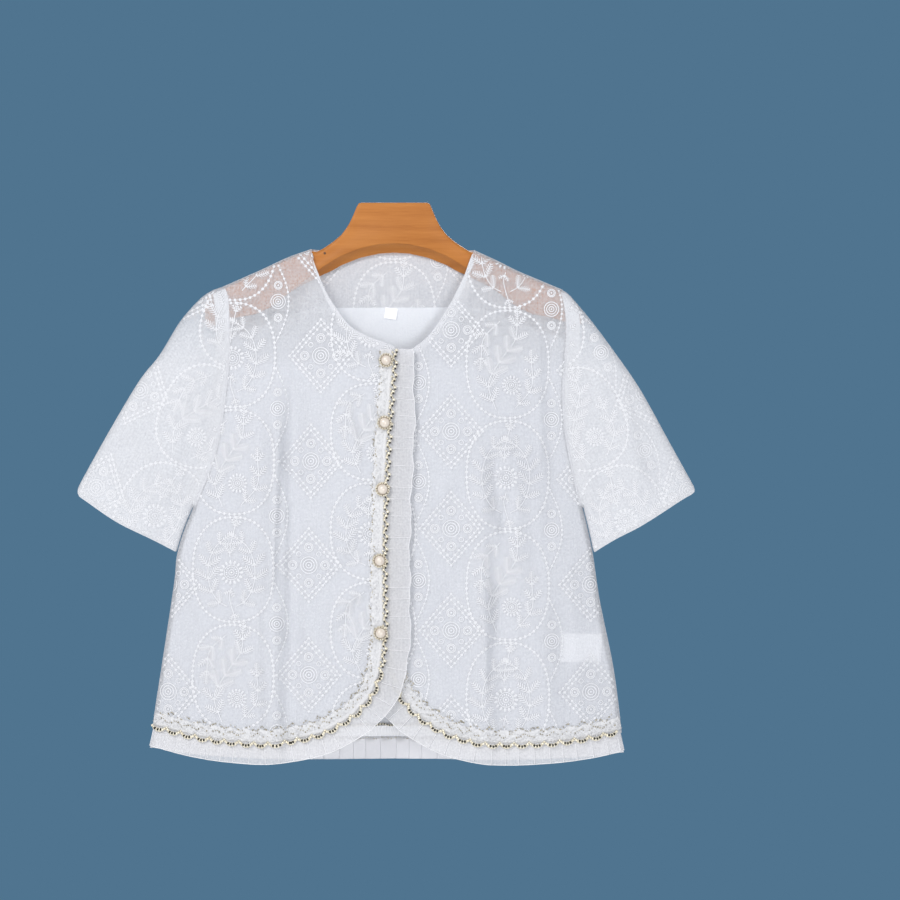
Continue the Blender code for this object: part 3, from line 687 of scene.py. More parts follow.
def woven(name, light, dark, cover, rough, sheen, thread=0.0011, through=0.0, denser=0.0, seeds=0.0):
    """A plain woven cloth: threads both ways, upright slubs, and more or less see-through.

    cover is the opacity between and on the threads; through is the share of light let
    through from behind; denser is added to the cover from the sleeve heads down; seeds
    strews small raised stitches over the ground.
    """
    material, shader, tree = new_material(name, light, rough, sheen=sheen)
    uv = grain(tree)
    threads = combine(tree, "MAXIMUM", wave(tree, uv, "X", thread), wave(tree, uv, "Y", thread))
    upright = noise(tree, uv, 760.0, (1.0, 0.05, 1.0), 2.0)
    crinkle = noise(tree, uv, 430.0, detail=4.0)
    slubs = weighted(tree, (upright, 0.65), (crinkle, 1.35))
    if seeds:
        slubs = combine(tree, "ADD", slubs, weighted(tree, (seed_stitches(tree, uv), seeds)))
    colour = ramp(tree, weighted(tree, (slubs, 0.5)), ((0.36, dark), (0.62, light)))
    tree.links.new(colour, shader.inputs["Base Color"])
    if cover[1] < 1.0:
        alpha = mapped(tree, weighted(tree, (threads, 0.35), (slubs, 0.45)), 0.3, 0.95, *cover)
        if denser:
            place = add_node(tree, "ShaderNodeSeparateXYZ")
            tree.links.new(object_place(tree), place.inputs["Vector"])
            below = mapped(tree, place.outputs["Z"], DENSER_FROM * MM, DENSER_TO * MM, 0.0, denser)
            alpha = combine(tree, "ADD", alpha, below)
        tree.links.new(alpha, shader.inputs["Alpha"])
    bump(tree, shader, weighted(tree, (threads, 0.5), (slubs, 1.6)), 0.4, 0.00035)
    if through:
        back_light = add_node(tree, "ShaderNodeBsdfTranslucent", Color=(*light, 1.0))
        mix = add_node(tree, "ShaderNodeMixShader")
        mix.inputs[0].default_value = through
        tree.links.new(shader.outputs[0], mix.inputs[1])
        tree.links.new(back_light.outputs[0], mix.inputs[2])
        tree.links.new(mix.outputs[0], tree.nodes["Material Output"].inputs["Surface"])
    return material


def threadwork(name, colour, rough, period):
    """Satin stitches: fine parallel threads with a soft gloss."""
    material, shader, tree = new_material(name, colour, rough, sheen=0.3)
    uv = grain(tree)
    stitch = wave(tree, uv, "DIAGONAL", period)
    loose = noise(tree, uv, 500.0)
    tree.links.new(ramp(tree, loose, ((0.25, [c * 0.93 for c in colour]), (0.65, colour))),
                   shader.inputs["Base Color"])
    bump(tree, shader, combine(tree, "ADD", stitch, loose), 0.5, 0.00015)
    return material


def wood_material():
    """Honey-coloured beech with long grain, small flecks and a satin varnish."""
    light, mid, dark = (0.545, 0.210, 0.048), (0.455, 0.163, 0.033), (0.33, 0.104, 0.018)
    material, shader, tree = new_material("wood", light, 0.5, coat=0.1)
    shader.inputs["Coat Roughness"].default_value = 0.25
    shader.inputs["Specular IOR Level"].default_value = 0.2
    place = object_place(tree)
    long_grain = noise(tree, place, 60.0, (0.12, 1.0, 1.6), 5.0)
    flecks = noise(tree, place, 900.0, (0.05, 1.0, 1.0), 2.0)
    cloud = noise(tree, place, 9.0, (0.6, 1.0, 1.0), 2.0)
    tone = weighted(tree, (long_grain, 0.55), (cloud, 0.35), (flecks, 0.18))
    tone = ramp(tree, tone, ((0.38, dark), (0.52, mid), (0.68, light)))
    tree.links.new(tone, shader.inputs["Base Color"])
    bump(tree, shader, flecks, 0.15, 0.0002)
    return material


def pearl_material():
    """Ivory pearl: soft pinkish bands under a clear coat."""
    material, shader, tree = new_material("pearl", (0.78, 0.69, 0.59), 0.25, coat=0.8)
    shader.inputs["Coat Roughness"].default_value = 0.06
    shader.inputs["Specular IOR Level"].default_value = 0.7
    place = object_place(tree)
    cloud = noise(tree, place, 260.0, detail=2.0)
    tree.links.new(ramp(tree, cloud, ((0.3, (0.70, 0.59, 0.50)), (0.7, (0.82, 0.76, 0.67)))),
                   shader.inputs["Base Color"])
    return material


def metal_material(name, light, dark, rough, metallic):
    """Metal or a hard fleck, a little uneven."""
    material, shader, tree = new_material(name, light, rough, metallic=metallic)
    place = object_place(tree)
    cloud = noise(tree, place, 420.0, detail=2.0)
    tree.links.new(ramp(tree, cloud, ((0.35, dark), (0.65, light))), shader.inputs["Base Color"])
    bump(tree, shader, noise(tree, place, 1500.0), 0.2, 0.0001)
    return material


SOLID = (1.0, 1.0)
MATERIALS = {
    "organza": woven("organza", (0.83, 0.84, 0.875), (0.745, 0.755, 0.795), (0.08, 0.44), 0.75, 0.15,
                     denser=0.1, seeds=0.34),
    "organza_back": woven("organza_back", (0.76, 0.76, 0.785), (0.69, 0.69, 0.72), (0.5, 0.78), 0.75,
                          0.15, seeds=0.34),
    "organza_sleeve": woven("organza_sleeve", (0.84, 0.85, 0.88), (0.775, 0.785, 0.82), (0.1, 0.48),
                            0.75, 0.15, denser=0.26, seeds=0.34),
    "band": woven("band", (0.88, 0.88, 0.90), (0.83, 0.84, 0.86), SOLID, 0.8, 0.1),
    "lining": woven("lining", (0.82, 0.84, 0.88), (0.78, 0.80, 0.85), SOLID, 0.85, 0.1, 0.0007),
    "lining_front": woven("lining_front", (0.82, 0.84, 0.88), (0.78, 0.80, 0.85), (0.12, 0.12), 0.85,
                          0.1, 0.0007, denser=0.88),
    "frill": woven("frill", (0.815, 0.815, 0.835), (0.76, 0.76, 0.79), (0.3, 0.66), 0.7, 0.15, 0.0009),
    # frill_lit and strip_lit are lighter copies of the frill and band: painted light on the back's inside,
    # which lies in shade; frill_lit also lets light through from behind
    "frill_lit": woven("frill_lit", (0.88, 0.88, 0.90), (0.84, 0.84, 0.87), SOLID, 0.7, 0.1, 0.0009, 0.62),
    "strip_lit": woven("strip_lit", (0.90, 0.90, 0.91), (0.84, 0.84, 0.86), SOLID, 0.7, 0.1, 0.0009),
    "fold": woven("fold", (0.87, 0.87, 0.89), (0.83, 0.83, 0.85), SOLID, 0.6, 0.1),
    "stitch": threadwork("stitch", (0.785, 0.79, 0.818), 0.7, 0.0006),
    "tuft": threadwork("tuft", (0.765, 0.765, 0.78), 0.8, 0.0008),
    "cord": threadwork("cord", (0.73, 0.73, 0.745), 0.6, 0.0012),
    "wood": wood_material(),
    "pearl": pearl_material(),
    "gold": metal_material("gold", (0.95, 0.90, 0.76), (0.82, 0.74, 0.57), 0.24, 0.35),
    # The crown's cup is much darker than its beads: painted shade in the gaps between them
    "crown": metal_material("crown", (0.46, 0.39, 0.32), (0.30, 0.25, 0.20), 0.4, 0.3),
    # Painted shade: near-black balls in and between the beads
    "shadow_gold": metal_material("shadow_gold", (0.03, 0.025, 0.015), (0.01, 0.01, 0.008), 0.6, 0.1),
    "sequin": metal_material("sequin", (0.62, 0.56, 0.44), (0.27, 0.24, 0.17), 0.35, 0.4),
    "knot": metal_material("knot", (0.14, 0.065, 0.03), (0.07, 0.03, 0.015), 0.6, 0.0),
    "label": woven("label", (0.97, 0.97, 0.98), (0.95, 0.95, 0.96), SOLID, 0.5, 0.1, 0.0005),
}

# A faint glow of painted light on the label, and on the strip for the light that the sheer layers let in on
# it
GLOW = {"label": 0.12, "strip_lit": 0.17}
GLOW_COLOUR = (0.9, 0.93, 1.0, 1.0)
for lit_name, glow in GLOW.items():
    lit = MATERIALS[lit_name].node_tree.nodes["Principled BSDF"]
    lit.inputs["Emission Color"].default_value = GLOW_COLOUR
    lit.inputs["Emission Strength"].default_value = glow


# Meshes

def shell(outer, inner, wrapped=False):
    """Points and faces of a thin closed cloth between two grids."""
    rows, columns = outer.shape[:2]
    index = np.arange(rows * columns).reshape(rows, columns)
    if wrapped:
        index = np.concatenate([index, index[:, :1]], axis=1)
    quads = np.stack([index[:-1, :-1], index[1:, :-1], index[1:, 1:], index[:-1, 1:]], axis=-1)
    quads = quads.reshape(-1, 4)
    total = rows * columns
    rims = [index[0, :], index[-1, ::-1]]
    if not wrapped:
        rims += [index[::-1, 0], index[:, -1]]
    faces = [quads, quads[:, ::-1] + total]
    for rim in rims:
        faces.append(np.stack([rim[:-1], rim[1:], rim[1:] + total, rim[:-1] + total], axis=-1))
    points = np.concatenate([outer.reshape(-1, 3), inner.reshape(-1, 3)])
    return points, np.concatenate(faces)


def ring_faces(rings, around):
    """Faces of a closed skin over rings of points, with a cap at both ends."""
    index = np.arange(rings * around).reshape(-1, around)
    index = np.concatenate([index, index[:, :1]], axis=1)
    quads = np.stack([index[:-1, :-1], index[:-1, 1:], index[1:, 1:], index[1:, :-1]], axis=-1)
    return quads.reshape(-1, 4).tolist() + [index[0, :-1][::-1].tolist(), index[-1, :-1].tolist()]


def signed_volume(points, faces):
    """The volume that a closed mesh of quads or triangles holds."""
    total = 0.0
    for k in range(1, faces.shape[1] - 1):
        a, b, c = points[faces[:, 0]], points[faces[:, k]], points[faces[:, k + 1]]
        total += np.sum(a * np.cross(b, c))
    return total / 6.0


def piece(name, mesh_data, material, turn=0.0, closed=True, sharp=60.0):
    """A piece of the scene, from points in mm and faces; turn tilts the cloth's grain."""
    points, faces = mesh_data
    points = np.asarray(points, float)
    if closed and isinstance(faces, np.ndarray) and signed_volume(points, faces) < 0:
        faces = faces[:, ::-1]
    mesh = bpy.data.meshes.new(name)
    mesh.from_pydata((points * MM).tolist(), [], [list(f) for f in faces])
    angle = np.radians(turn)
    across = points[:, 0] * np.cos(angle) + points[:, 2] * np.sin(angle)
    up = -points[:, 0] * np.sin(angle) + points[:, 2] * np.cos(angle)
    corners = np.zeros(len(mesh.loops), np.int32)
    mesh.loops.foreach_get("vertex_index", corners)
    layer = mesh.uv_layers.new(name="grain")
    layer.data.foreach_set("uv", (np.stack([across, up], axis=1)[corners] * MM).ravel())
    mesh.shade_smooth()
    mesh.set_sharp_from_angle(angle=np.radians(sharp))
    mesh.materials.append(MATERIALS[material])
    thing = bpy.data.objects.new(name, mesh)
    bpy.context.scene.collection.objects.link(thing)
    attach(thing, "root")
    return thing


# The cloth of the body and sleeves

def below_top(grid, name):
    """The rows of a grid that the lining covers, from its top edge to above the hem."""
    column = np.arange(grid.shape[0])
    first = np.full(len(column), float(LINING_TOP_ROW * FINE))
    if name != "back":
        first -= LINING_NECK_RISE * FINE * ease((column - SHOULDER_CELLS * FINE) / (8.0 * FINE))
    last = grid.shape[1] - 1 - FINE
    row = first[:, None] + (last - first)[:, None] * np.linspace(0, 1, last - LINING_TOP_ROW * FINE + 1)
    low = np.minimum(row.astype(int), last - 1)
    share = (row - low)[..., None]
    column = column[:, None]
    return grid[column, low] * (1 - share) + grid[column, low + 1] * share


FACING_IN = WALL - 0.35
FACING_ROWS = 3
LABEL_ROOM = 1.5
LABEL_REACH = 32.0


def make_body():
    """The fronts and back with their linings and facings."""
    for name, panel in (("front_right", front_panel("right")), ("front_left", front_panel("left")),
                        ("back", back_panel())):
        is_back = name == "back"
        part = name.split("_")[-1]
        material = "organza_back" if is_back else "organza"
        cloth = piece("cloth_" + name, shell(panel.at(0.0), panel.at(-CLOTH)), material)
        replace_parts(cloth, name)

        room = WALL + GAP
        if name == "front_left":
            from_label = np.hypot(panel.flat[..., 0] - CARE_LABEL[0], panel.flat[..., 1] - CARE_LABEL[1])
            room = room + LABEL_ROOM * (1 - ease((from_label - LABEL_REACH) / LABEL_REACH))
        room = np.broadcast_to(room, panel.flat.shape[:2])
        columns = slice(FINE + 2, -FINE - 2 if is_back else -FINE)
        lining = shell(*[below_top(panel.at(-room - t), name)[columns] for t in (0.0, CLOTH)])
        lining = piece("cloth_lining_" + part, lining, "lining" if is_back else "lining_front")
        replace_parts(lining, "lining_" + part)

        if not is_back:
            cells = slice((SHOULDER_CELLS + 1) * FINE, -1), slice(0, FACING_ROWS * FINE + 1)
            facing = shell(panel.at(-FACING_IN)[cells], panel.at(-FACING_IN - CLOTH)[cells])
            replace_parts(piece("cloth_facing_" + part, facing, "band"), "facing_" + part)


OUTWARD = {"right": -1.0, "left": 1.0}
ARMHOLE_GAP = 0.05


def sleeve_grid(side):
    """Rings from the armhole to the cuff, front and back in one tube."""
    arm = side_rows()[1]
    start = along(smooth_line(ARMHOLE[side]), arm)
    start = start + across_line(start, OUTWARD[side]) * ARMHOLE_GAP
    end = along(smooth_line(CUFF[side]), arm)
    top_line = smooth_line(SLEEVE_TOP[side])
    u = refine(graded(lengths(top_line)[-1], SLEEVE_HEAD_STEPS, (), SLEEVE_CELLS))
    top = along(top_line, u)
    top[0] = start[0]
    beside = SIDE_LINE[side] + np.array([OUTWARD[side] * UNDERARM_GAP, 0.0])
    under = along(beside[beside[:, 1] >= CUFF[side][-1][1]], u)
    under[0], under[-1] = start[-1], end[-1]
    flat = coons(start, end, top, under, arm, u)
    front = surface(flat, "front", sleeve=True)
    back = surface(flat, "back", sleeve=True)
    front[0, :, 1] = 0.0
    front[-1, :, 1] = 0.0
    rings = np.concatenate([front, back[-2:0:-1]], axis=0).transpose(1, 0, 2)
    return rings, grid_normals(rings, "front", wrapped=True)


SLEEVE_TURN = {"right": -26.0, "left": 24.0}
CUFF_BAND_RINGS = 2
CUFF_BAND_IN = (0.7, 1.1)
SEAM_ALLOWANCE = (-2.2, 0.0, 3.0, 6.5, 10.0, 12.5)
SEAM_RUN = (0.012, 0.985, 96)
SEAM_IN = (0.2, 0.5)
SEAM_BELOW_SHOULDER = 0.8


def make_sleeves():
    """Each sleeve in one tube, with its cuff's hem band and the seams in its armhole."""
    for side in ("right", "left"):
        rings, normals = sleeve_grid(side)
        turn = SLEEVE_TURN[side]
        cloth = shell(rings, rings - normals * CLOTH, wrapped=True)
        cloth = piece("cloth_sleeve_" + side, cloth, "organza_sleeve", turn)
        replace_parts(cloth, "sleeve_" + side)
        band = [(rings - normals * inwards)[-CUFF_BAND_RINGS:] for inwards in CUFF_BAND_IN]
        piece("cuff_band_" + side, shell(*band, wrapped=True), "band", turn)
        for face in ("front", "back"):
            seam_allowance(side, face)


def seam_allowance(side, face):
    """The sewn edges inside an armhole, pressed towards the sleeve."""
    line = along(smooth_line(ARMHOLE[side]), np.linspace(*SEAM_RUN))
    square = across_line(line, OUTWARD[side])
    flat = np.stack([line + square * step for step in SEAM_ALLOWANCE], axis=1)
    top = TOP_LINE[side] if side == "left" else TOP_LINE[side][::-1]
    shoulder = np.interp(flat[..., 0], top[:, 0], top[:, 1])
    flat[..., 1] = np.minimum(flat[..., 1], shoulder - SEAM_BELOW_SHOULDER)
    near, far = [on_cloth(flat[..., 0], flat[..., 1], "sleeve_" + face, -CLOTH - t) for t in SEAM_IN]
    piece("seam_allowance_%s_%s" % (side, face), shell(near, far), "band", SLEEVE_TURN[side])


# Embroidery

LEAF_STITCH = 2.2
FOOT = -0.05
DOT_HEIGHT = 0.28
STEM = (0.5, 0.3)
ROSETTE_PETALS = 15
SPRIG_POINTS = 24

# Rows of dots: spacing and radius
DIAMOND_DOTS = (5.8, 1.7)
OVAL_DOTS = (5.4, 1.8)
LENS_DOTS = (4.8, 1.45)
OVAL_BULGE = 0.86


class Stitches:
    """Raised embroidery, gathered as (x, z, out) corners and faces."""

    def __init__(self):
        self.corners = []
        self.faces = []

    def dot(self, x, z, radius):
        """A small round of satin stitch."""
        first = len(self.corners)
        self.corners.append((x, z, DOT_HEIGHT))
        for k in range(6):
            a = k * np.pi / 3
            self.corners.append((x + radius * np.cos(a), z + radius * np.sin(a), FOOT))
        self.faces += [(first, first + 1 + k, first + 1 + (k + 1) % 6) for k in range(6)]

    def band(self, points, half, height=0.26, loop=False):
        """A raised line along points, half wide to each side."""
        points = np.asarray(points, float)
        if loop:
            ahead, behind = np.roll(points, -1, axis=0), np.roll(points, 1, axis=0)
            tangent = ahead - behind
        else:
            tangent = np.gradient(points, axis=0)
        tangent /= np.linalg.norm(tangent, axis=1, keepdims=True) + 1e-9
        side = np.stack([-tangent[:, 1], tangent[:, 0]], axis=1) * half
        first, count = len(self.corners), len(points)
        for p, s in zip(points, side):
            self.corners += [(p[0] - s[0], p[1] - s[1], FOOT), (p[0], p[1], height),
                             (p[0] + s[0], p[1] + s[1], FOOT)]
        for k in range(count if loop else count - 1):
            a, b = first + 3 * k, first + 3 * ((k + 1) % count)
            self.faces += [(a, a + 1, b + 1, b), (a + 1, a + 2, b + 2, b + 1)]

    def ring(self, x, z, radius, half=0.55):
        """A raised ring."""
        turn = np.linspace(0, 2 * np.pi, max(10, int(radius * 2.6)), endpoint=False)
        self.band(np.stack([x + radius * np.cos(turn), z + radius * np.sin(turn)], axis=1), half, loop=True)

    def petal(self, x, z, angle, size, half):
        """A pointed petal with a raised middle."""
        c, s = np.cos(angle), np.sin(angle)
        shape = ((0, 0, FOOT), (0.35, 0.9, FOOT), (0.8, 0.85, FOOT), (1, 0, 0.0), (0.8, -0.85, FOOT),
                 (0.35, -0.9, FOOT), (0.3, 0, 0.3), (0.75, 0, 0.35))
        first = len(self.corners)
        for t, w, out in shape:
            self.corners.append((x + t * size * c - w * half * s, z + t * size * s + w * half * c, out))
        for face in ((0, 1, 6), (1, 2, 7, 6), (2, 3, 7), (3, 4, 7), (4, 5, 6, 7), (5, 0, 6)):
            self.faces.append(tuple(first + k for k in face))

    def leaf(self, x, z, angle, size, half):
        """A feather leaf: a middle thread with slanted stitches on both sides."""
        c, s = np.cos(angle), np.sin(angle)
        t = np.linspace(0.0, 1.0, 4)
        self.band(np.stack([x + t * size * c, z + t * size * s], axis=1), *STEM)
        count = max(3, int(size / LEAF_STITCH))
        wide = 0.27 * size / count
        for k in range(count):
            t = (k + 0.5) / count
            reach = half * np.sin(np.pi * (0.06 + 0.88 * t)) ** 0.7
            for side in (1, -1):
                first = len(self.corners)
                for run, across, out in ((-wide, 0.08, 0.24), (wide, 0.08, 0.24),
                                         (0.75 * reach + 0.7 * wide, 1.0, 0.1),
                                         (0.75 * reach - 0.7 * wide, 1.0, 0.1)):
                    run, across = t * size + run, side * across * reach
                    self.corners.append((x + run * c - across * s, z + run * s + across * c, out))
                quad = (first, first + 1, first + 2, first + 3)
                self.faces.append(quad if side > 0 else quad[::-1])

    def sprig(self, points, leaf, pairs, spread=0.8):
        """A curved stem through the points, with feather leaves on both sides."""
        t = np.linspace(0, 1, SPRIG_POINTS)
        line = along(smooth_line(points), t)
        self.band(line, *STEM)
        tangent = np.gradient(line, axis=0)
        heading = np.unwrap(np.arctan2(tangent[:, 1], tangent[:, 0]))
        for k in range(pairs):
            where = 0.1 + 0.84 * k / max(pairs - 1, 1)
            at_x, at_z = np.interp(where, t, line[:, 0]), np.interp(where, t, line[:, 1])
            turn = np.interp(where, t, heading)
            size = leaf * (1.0 - 0.35 * abs(where - 0.45) / 0.55)
            for side in (1, -1):
                self.leaf(at_x, at_z, turn + side * spread, size, 0.6 + 0.2 * size)
        self.leaf(line[-1, 0], line[-1, 1], heading[-1], leaf * 0.75, 0.4 + 0.16 * leaf)

    def rosette(self, x, z, radius):
        """A round flower: rings, scalloped petals and a stitched centre."""
        for k in range(ROSETTE_PETALS):
            a = 2 * np.pi * k / ROSETTE_PETALS
            self.petal(x + 0.62 * radius * np.cos(a), z + 0.62 * radius * np.sin(a), a,
                       0.38 * radius, 0.115 * radius)
            b = a + np.pi / ROSETTE_PETALS
            self.dot(x + 0.42 * radius * np.cos(b), z + 0.42 * radius * np.sin(b), 0.85)
        self.ring(x, z, 0.59 * radius, 0.45)
        self.ring(x, z, 0.22 * radius, 0.45)
        self.dot(x, z, 1.2)

    def wreath(self, x, z, across, up, start, end, leaf, pairs):
        """A sprig bent along part of an ellipse; start and end are in turns."""
        t = np.linspace(start, end, 9) * 2 * np.pi
        self.sprig(np.stack([x + across * np.cos(t), z + up * np.sin(t)], axis=1), leaf, pairs)

    def dots_along(self, points, spacing, radius):
        """A thin line through the points with a row of dots on it."""
        line = np.asarray(points, float)
        total = lengths(line)[-1]
        self.band(along(line, np.linspace(0, 1, max(2, int(total / 3.0)))), 0.32, 0.12)
        for x, z in along(line, np.linspace(0, 1, max(2, int(round(total / spacing)) + 1)))[1:]:
            self.dot(x, z, radius)

    def target(self, x, z, radius, rings):
        """Concentric rings round a dot."""
        for k in range(rings):
            self.ring(x, z, radius * (1.0 - 0.32 * k))
        self.dot(x, z, 1.1)

    def diamond(self, x, z, half_width=33.0, half_height=38.0):
        """A diamond of two rows of dots round a target, four smaller ones and four rings."""
        for scale in (1.0, 0.84):
            w, h = half_width * scale, half_height * scale
            corner = ((x + w, z), (x, z + h), (x - w, z), (x, z - h), (x + w, z))
            for a, b in zip(corner[:-1], corner[1:]):
                self.dots_along((a, b), *DIAMOND_DOTS)
        self.target(x, z, 8.7, 3)
        for dx, dz in ((17, 0), (-17, 0), (0, 18.5), (0, -18.5)):
            self.target(x + dx, z + dz, 4.6, 2)
        for dx, dz in ((10.5, 11.5), (-10.5, 11.5), (10.5, -11.5), (-10.5, -11.5)):
            self.ring(x + dx, z + dz, 2.4, 0.5)

    def lens(self, x, z, reach=42.0):
        """A target with one above and one below, beside a dotted arc."""
        self.target(x, z, 7.6, 3)
        for dz in (17, -17):
            self.target(x, z + dz, 4.2, 2)
        t = np.linspace(-1, 1, 30)
        arc = np.stack([x + (13.0 * np.cos(t * np.pi / 2) - 2.0), z + reach * t], axis=1)
        self.dots_along(arc, *LENS_DOTS)

    def oval(self, x, z, half_width, half_height, kind):
        """A dotted oval that holds ferns round a rosette."""
        t = np.linspace(0, 2 * np.pi, 90) + 0.1
        c, s = np.cos(t), np.sin(t)
        outline = np.stack([x + half_width * np.sign(c) * np.abs(c) ** OVAL_BULGE,
                            z + half_height * np.sign(s) * np.abs(s) ** OVAL_BULGE], axis=1)
        self.dots_along(outline, *OVAL_DOTS)
        if kind % 2:
            self.sprig(((x - 12, z - 0.86 * half_height), (x - 20, z - 20), (x - 6, z + 6), (x + 8, z + 26),
                        (x + 10, z + 0.82 * half_height)), 19.0, 7, 0.7)
            self.sprig(((x + 8, z - 0.82 * half_height), (x + 25, z - 24), (x + 25, z + 4)), 15.0, 4, 0.7)
            self.sprig(((x - 8, z + 0.8 * half_height), (x - 25, z + 27), (x - 28, z + 4)), 15.0, 4, 0.7)
            self.rosette(x + 4, z - 22, 10.5)
        else:
            self.rosette(x - 2, z - 3, 13.0)
            for start, end in ((-0.22, 0.2), (0.72, 0.31)):
                self.wreath(x - 2, z - 3, 25.0, 0.66 * half_height, start, end, 17.0, 6)
            self.sprig(((x - 4, z + 13), (x - 3, z + 26), (x + 2, z + 0.86 * half_height)), 12.0, 2, 0.6)
            self.sprig(((x - 2, z - 19), (x - 4, z - 30), (x + 1, z - 0.88 * half_height)), 9.0, 2)

    def build(self, name, cloth, outline, turn=0.0, origin=(0.0, 0.0), inside=False):
        """The piece on a cloth, cut to the outline; turn tilts the whole pattern."""
        corners = np.array(self.corners)
        angle = np.radians(turn)
        dx, dz = corners[:, 0], corners[:, 1]
        x = origin[0] + dx * np.cos(angle) - dz * np.sin(angle)
        z = origin[1] + dx * np.sin(angle) + dz * np.cos(angle)
        keep = inside_outline(x, z, outline)
        faces = [f for f in self.faces if all(keep[k] for k in f)]
        used = sorted({k for f in faces for k in f})
        number = {k: n for n, k in enumerate(used)}
        out = -CLOTH - corners[used, 2] if inside else corners[used, 2]
        points = on_cloth(x[used], z[used], cloth, out)
        toward = (CLOTHS[cloth][0] == "front") != inside
        faces = [tuple(number[k] for k in (f if toward else f[::-1])) for f in faces]
        piece(name, (points, faces), "stitch", turn, closed=False, sharp=80.0)


def inside_outline(x, z, outline):
    """Which points lie inside a closed outline."""
    inside = np.zeros(len(x), bool)
    for (ax, az), (bx, bz) in zip(outline, np.roll(outline, -1, axis=0)):
        crosses = (az > z) != (bz > z)
        inside ^= crosses & (x < ax + (bx - ax) * (z - az) / (bz - az + TINY))
    return inside


def shrink(outline, by):
    """A closed outline moved inwards, away from the seams."""
    points = np.asarray(outline, float)
    keep = np.linalg.norm(points - np.roll(points, 1, axis=0), axis=1) > 0.05
    points = points[keep]
    tangent = np.roll(points, -1, axis=0) - np.roll(points, 1, axis=0)
    tangent /= np.linalg.norm(tangent, axis=1, keepdims=True)
    square = np.stack([-tangent[:, 1], tangent[:, 0]], axis=1)
    area = np.sum(points[:, 0] * np.roll(points[:, 1], -1) - np.roll(points[:, 0], -1) * points[:, 1])
    return points + square * by * np.sign(area)


def front_outline(side):
    """The stitched field of a front, a little inside its seams."""
    rows = [smooth_line(SHOULDER[side])[::-1], smooth_line(NECK[side]), smooth_line(FRONT_EDGE[side]),
            smooth_line(FRONT_HEM[side]), smooth_line(SIDE[side][:HEM_ROW + 1])[::-1],
            smooth_line(ARMHOLE[side])[::-1]]
    return shrink(np.vstack(rows), 1.2)


def back_outline():
    """The stitched field of the back."""
    rows = [smooth_line(SHOULDER["right"])[::-1], smooth_line(BACK_NECK), smooth_line(SHOULDER["left"]),
            smooth_line(ARMHOLE["left"]), smooth_line(SIDE["left"][:HEM_ROW + 1]),
            smooth_line(BACK_HEM)[::-1], smooth_line(SIDE["right"][:HEM_ROW + 1])[::-1],
            smooth_line(ARMHOLE["right"])[::-1]]
    return shrink(np.vstack(rows), 1.2)


def sleeve_outline(side):
    """The stitched field of a sleeve's front or back."""
    rows = [smooth_line(SLEEVE_TOP[side]), smooth_line(CUFF[side])]
    under = SIDE_LINE[side][SIDE_LINE[side][:, 1] >= CUFF[side][-1][1]]
    rows += [under[::-1], smooth_line(ARMHOLE[side])[::-1]]
    return shrink(np.vstack(rows), 1.5)


# Embroidery repeat: columns of ovals as (x, meeting z, period), diamonds as (x, z)
OVAL_COLUMNS = {
    "front_right": ((-167, -104, 112.0), (-22, -189, 103.0)),
    "front_left": ((-20, -189, 103.0), (119, -112, 115.5)),
    "back": ((-148, -104, 112.0), (0, -60, 112.0), (148, -104, 112.0)),
}
DIAMONDS = {
    "front_right": ((-74, -50), (-76, -161), (-86, -271), (-88, -379), (-88, -493), (-236, -400),
                    (-236, -512)),
    "front_left": ((58, -28), (60, -134), (60, -240), (60, -341), (60, -447), (60, -553), (204, -176),
                   (204, -290), (206, -400), (206, -512)),
    "back": ((-74, -50), (-74, -160), (-74, -272), (-74, -384), (-74, -496), (74, -50), (74, -160),
             (74, -272), (74, -384), (74, -496), (-222, -384), (-222, -496), (222, -384), (222, -496)),
}
OVAL_HALF_WIDTH = 43.0
LENS_BESIDE = 46.0


def chart(columns, diamonds, rows=6):
    """The embroidery of one panel."""
    stitches = Stitches()
    for number, (x, first, period) in enumerate(columns):
        for k in range(-1, rows):
            meet = first - period * k
            stitches.oval(x, meet - period / 2, OVAL_HALF_WIDTH, period / 2 - 1.5, k + number)
            stitches.lens(x + LENS_BESIDE, meet)
    for x, z in diamonds:
        stitches.diamond(x, z)
    return stitches


YOKE = ((-98, -62), (-30, -54), (30, -54), (96, -62), (96, -127), (-98, -127))
SLEEVE_PERIOD = 112.0
SLEEVE_PATTERN_TURN = 24.0
SLEEVE_ROWS = 5


def make_embroidery():
    """The embroidery of every panel, and of the back's inside where the neck shows it."""
    for name in ("front_right", "front_left", "back"):
        outline = back_outline() if name == "back" else front_outline(name.split("_")[-1])
        chart(OVAL_COLUMNS[name], DIAMONDS[name]).build("embroidery_" + name, name, outline)
    yoke = np.array(YOKE, float)
    chart(OVAL_COLUMNS["back"], DIAMONDS["back"]).build("embroidery_back_inside", "back", yoke, inside=True)
    for side, sign in OUTWARD.items():
        columns = ((-sign * 36.0, 35.0, SLEEVE_PERIOD), (sign * 104.0, 90.0, SLEEVE_PERIOD))
        diamonds = [(sign * 34.0, 90.0 - SLEEVE_PERIOD * k) for k in range(SLEEVE_ROWS)]
        for face in ("front", "back"):
            name = "embroidery_sleeve_%s_%s" % (side, face)
            chart(columns, diamonds, SLEEVE_ROWS).build(name, "sleeve_" + face, sleeve_outline(side),
                                                        sign * SLEEVE_PATTERN_TURN, ARMHOLE[side][0])


# The hanger

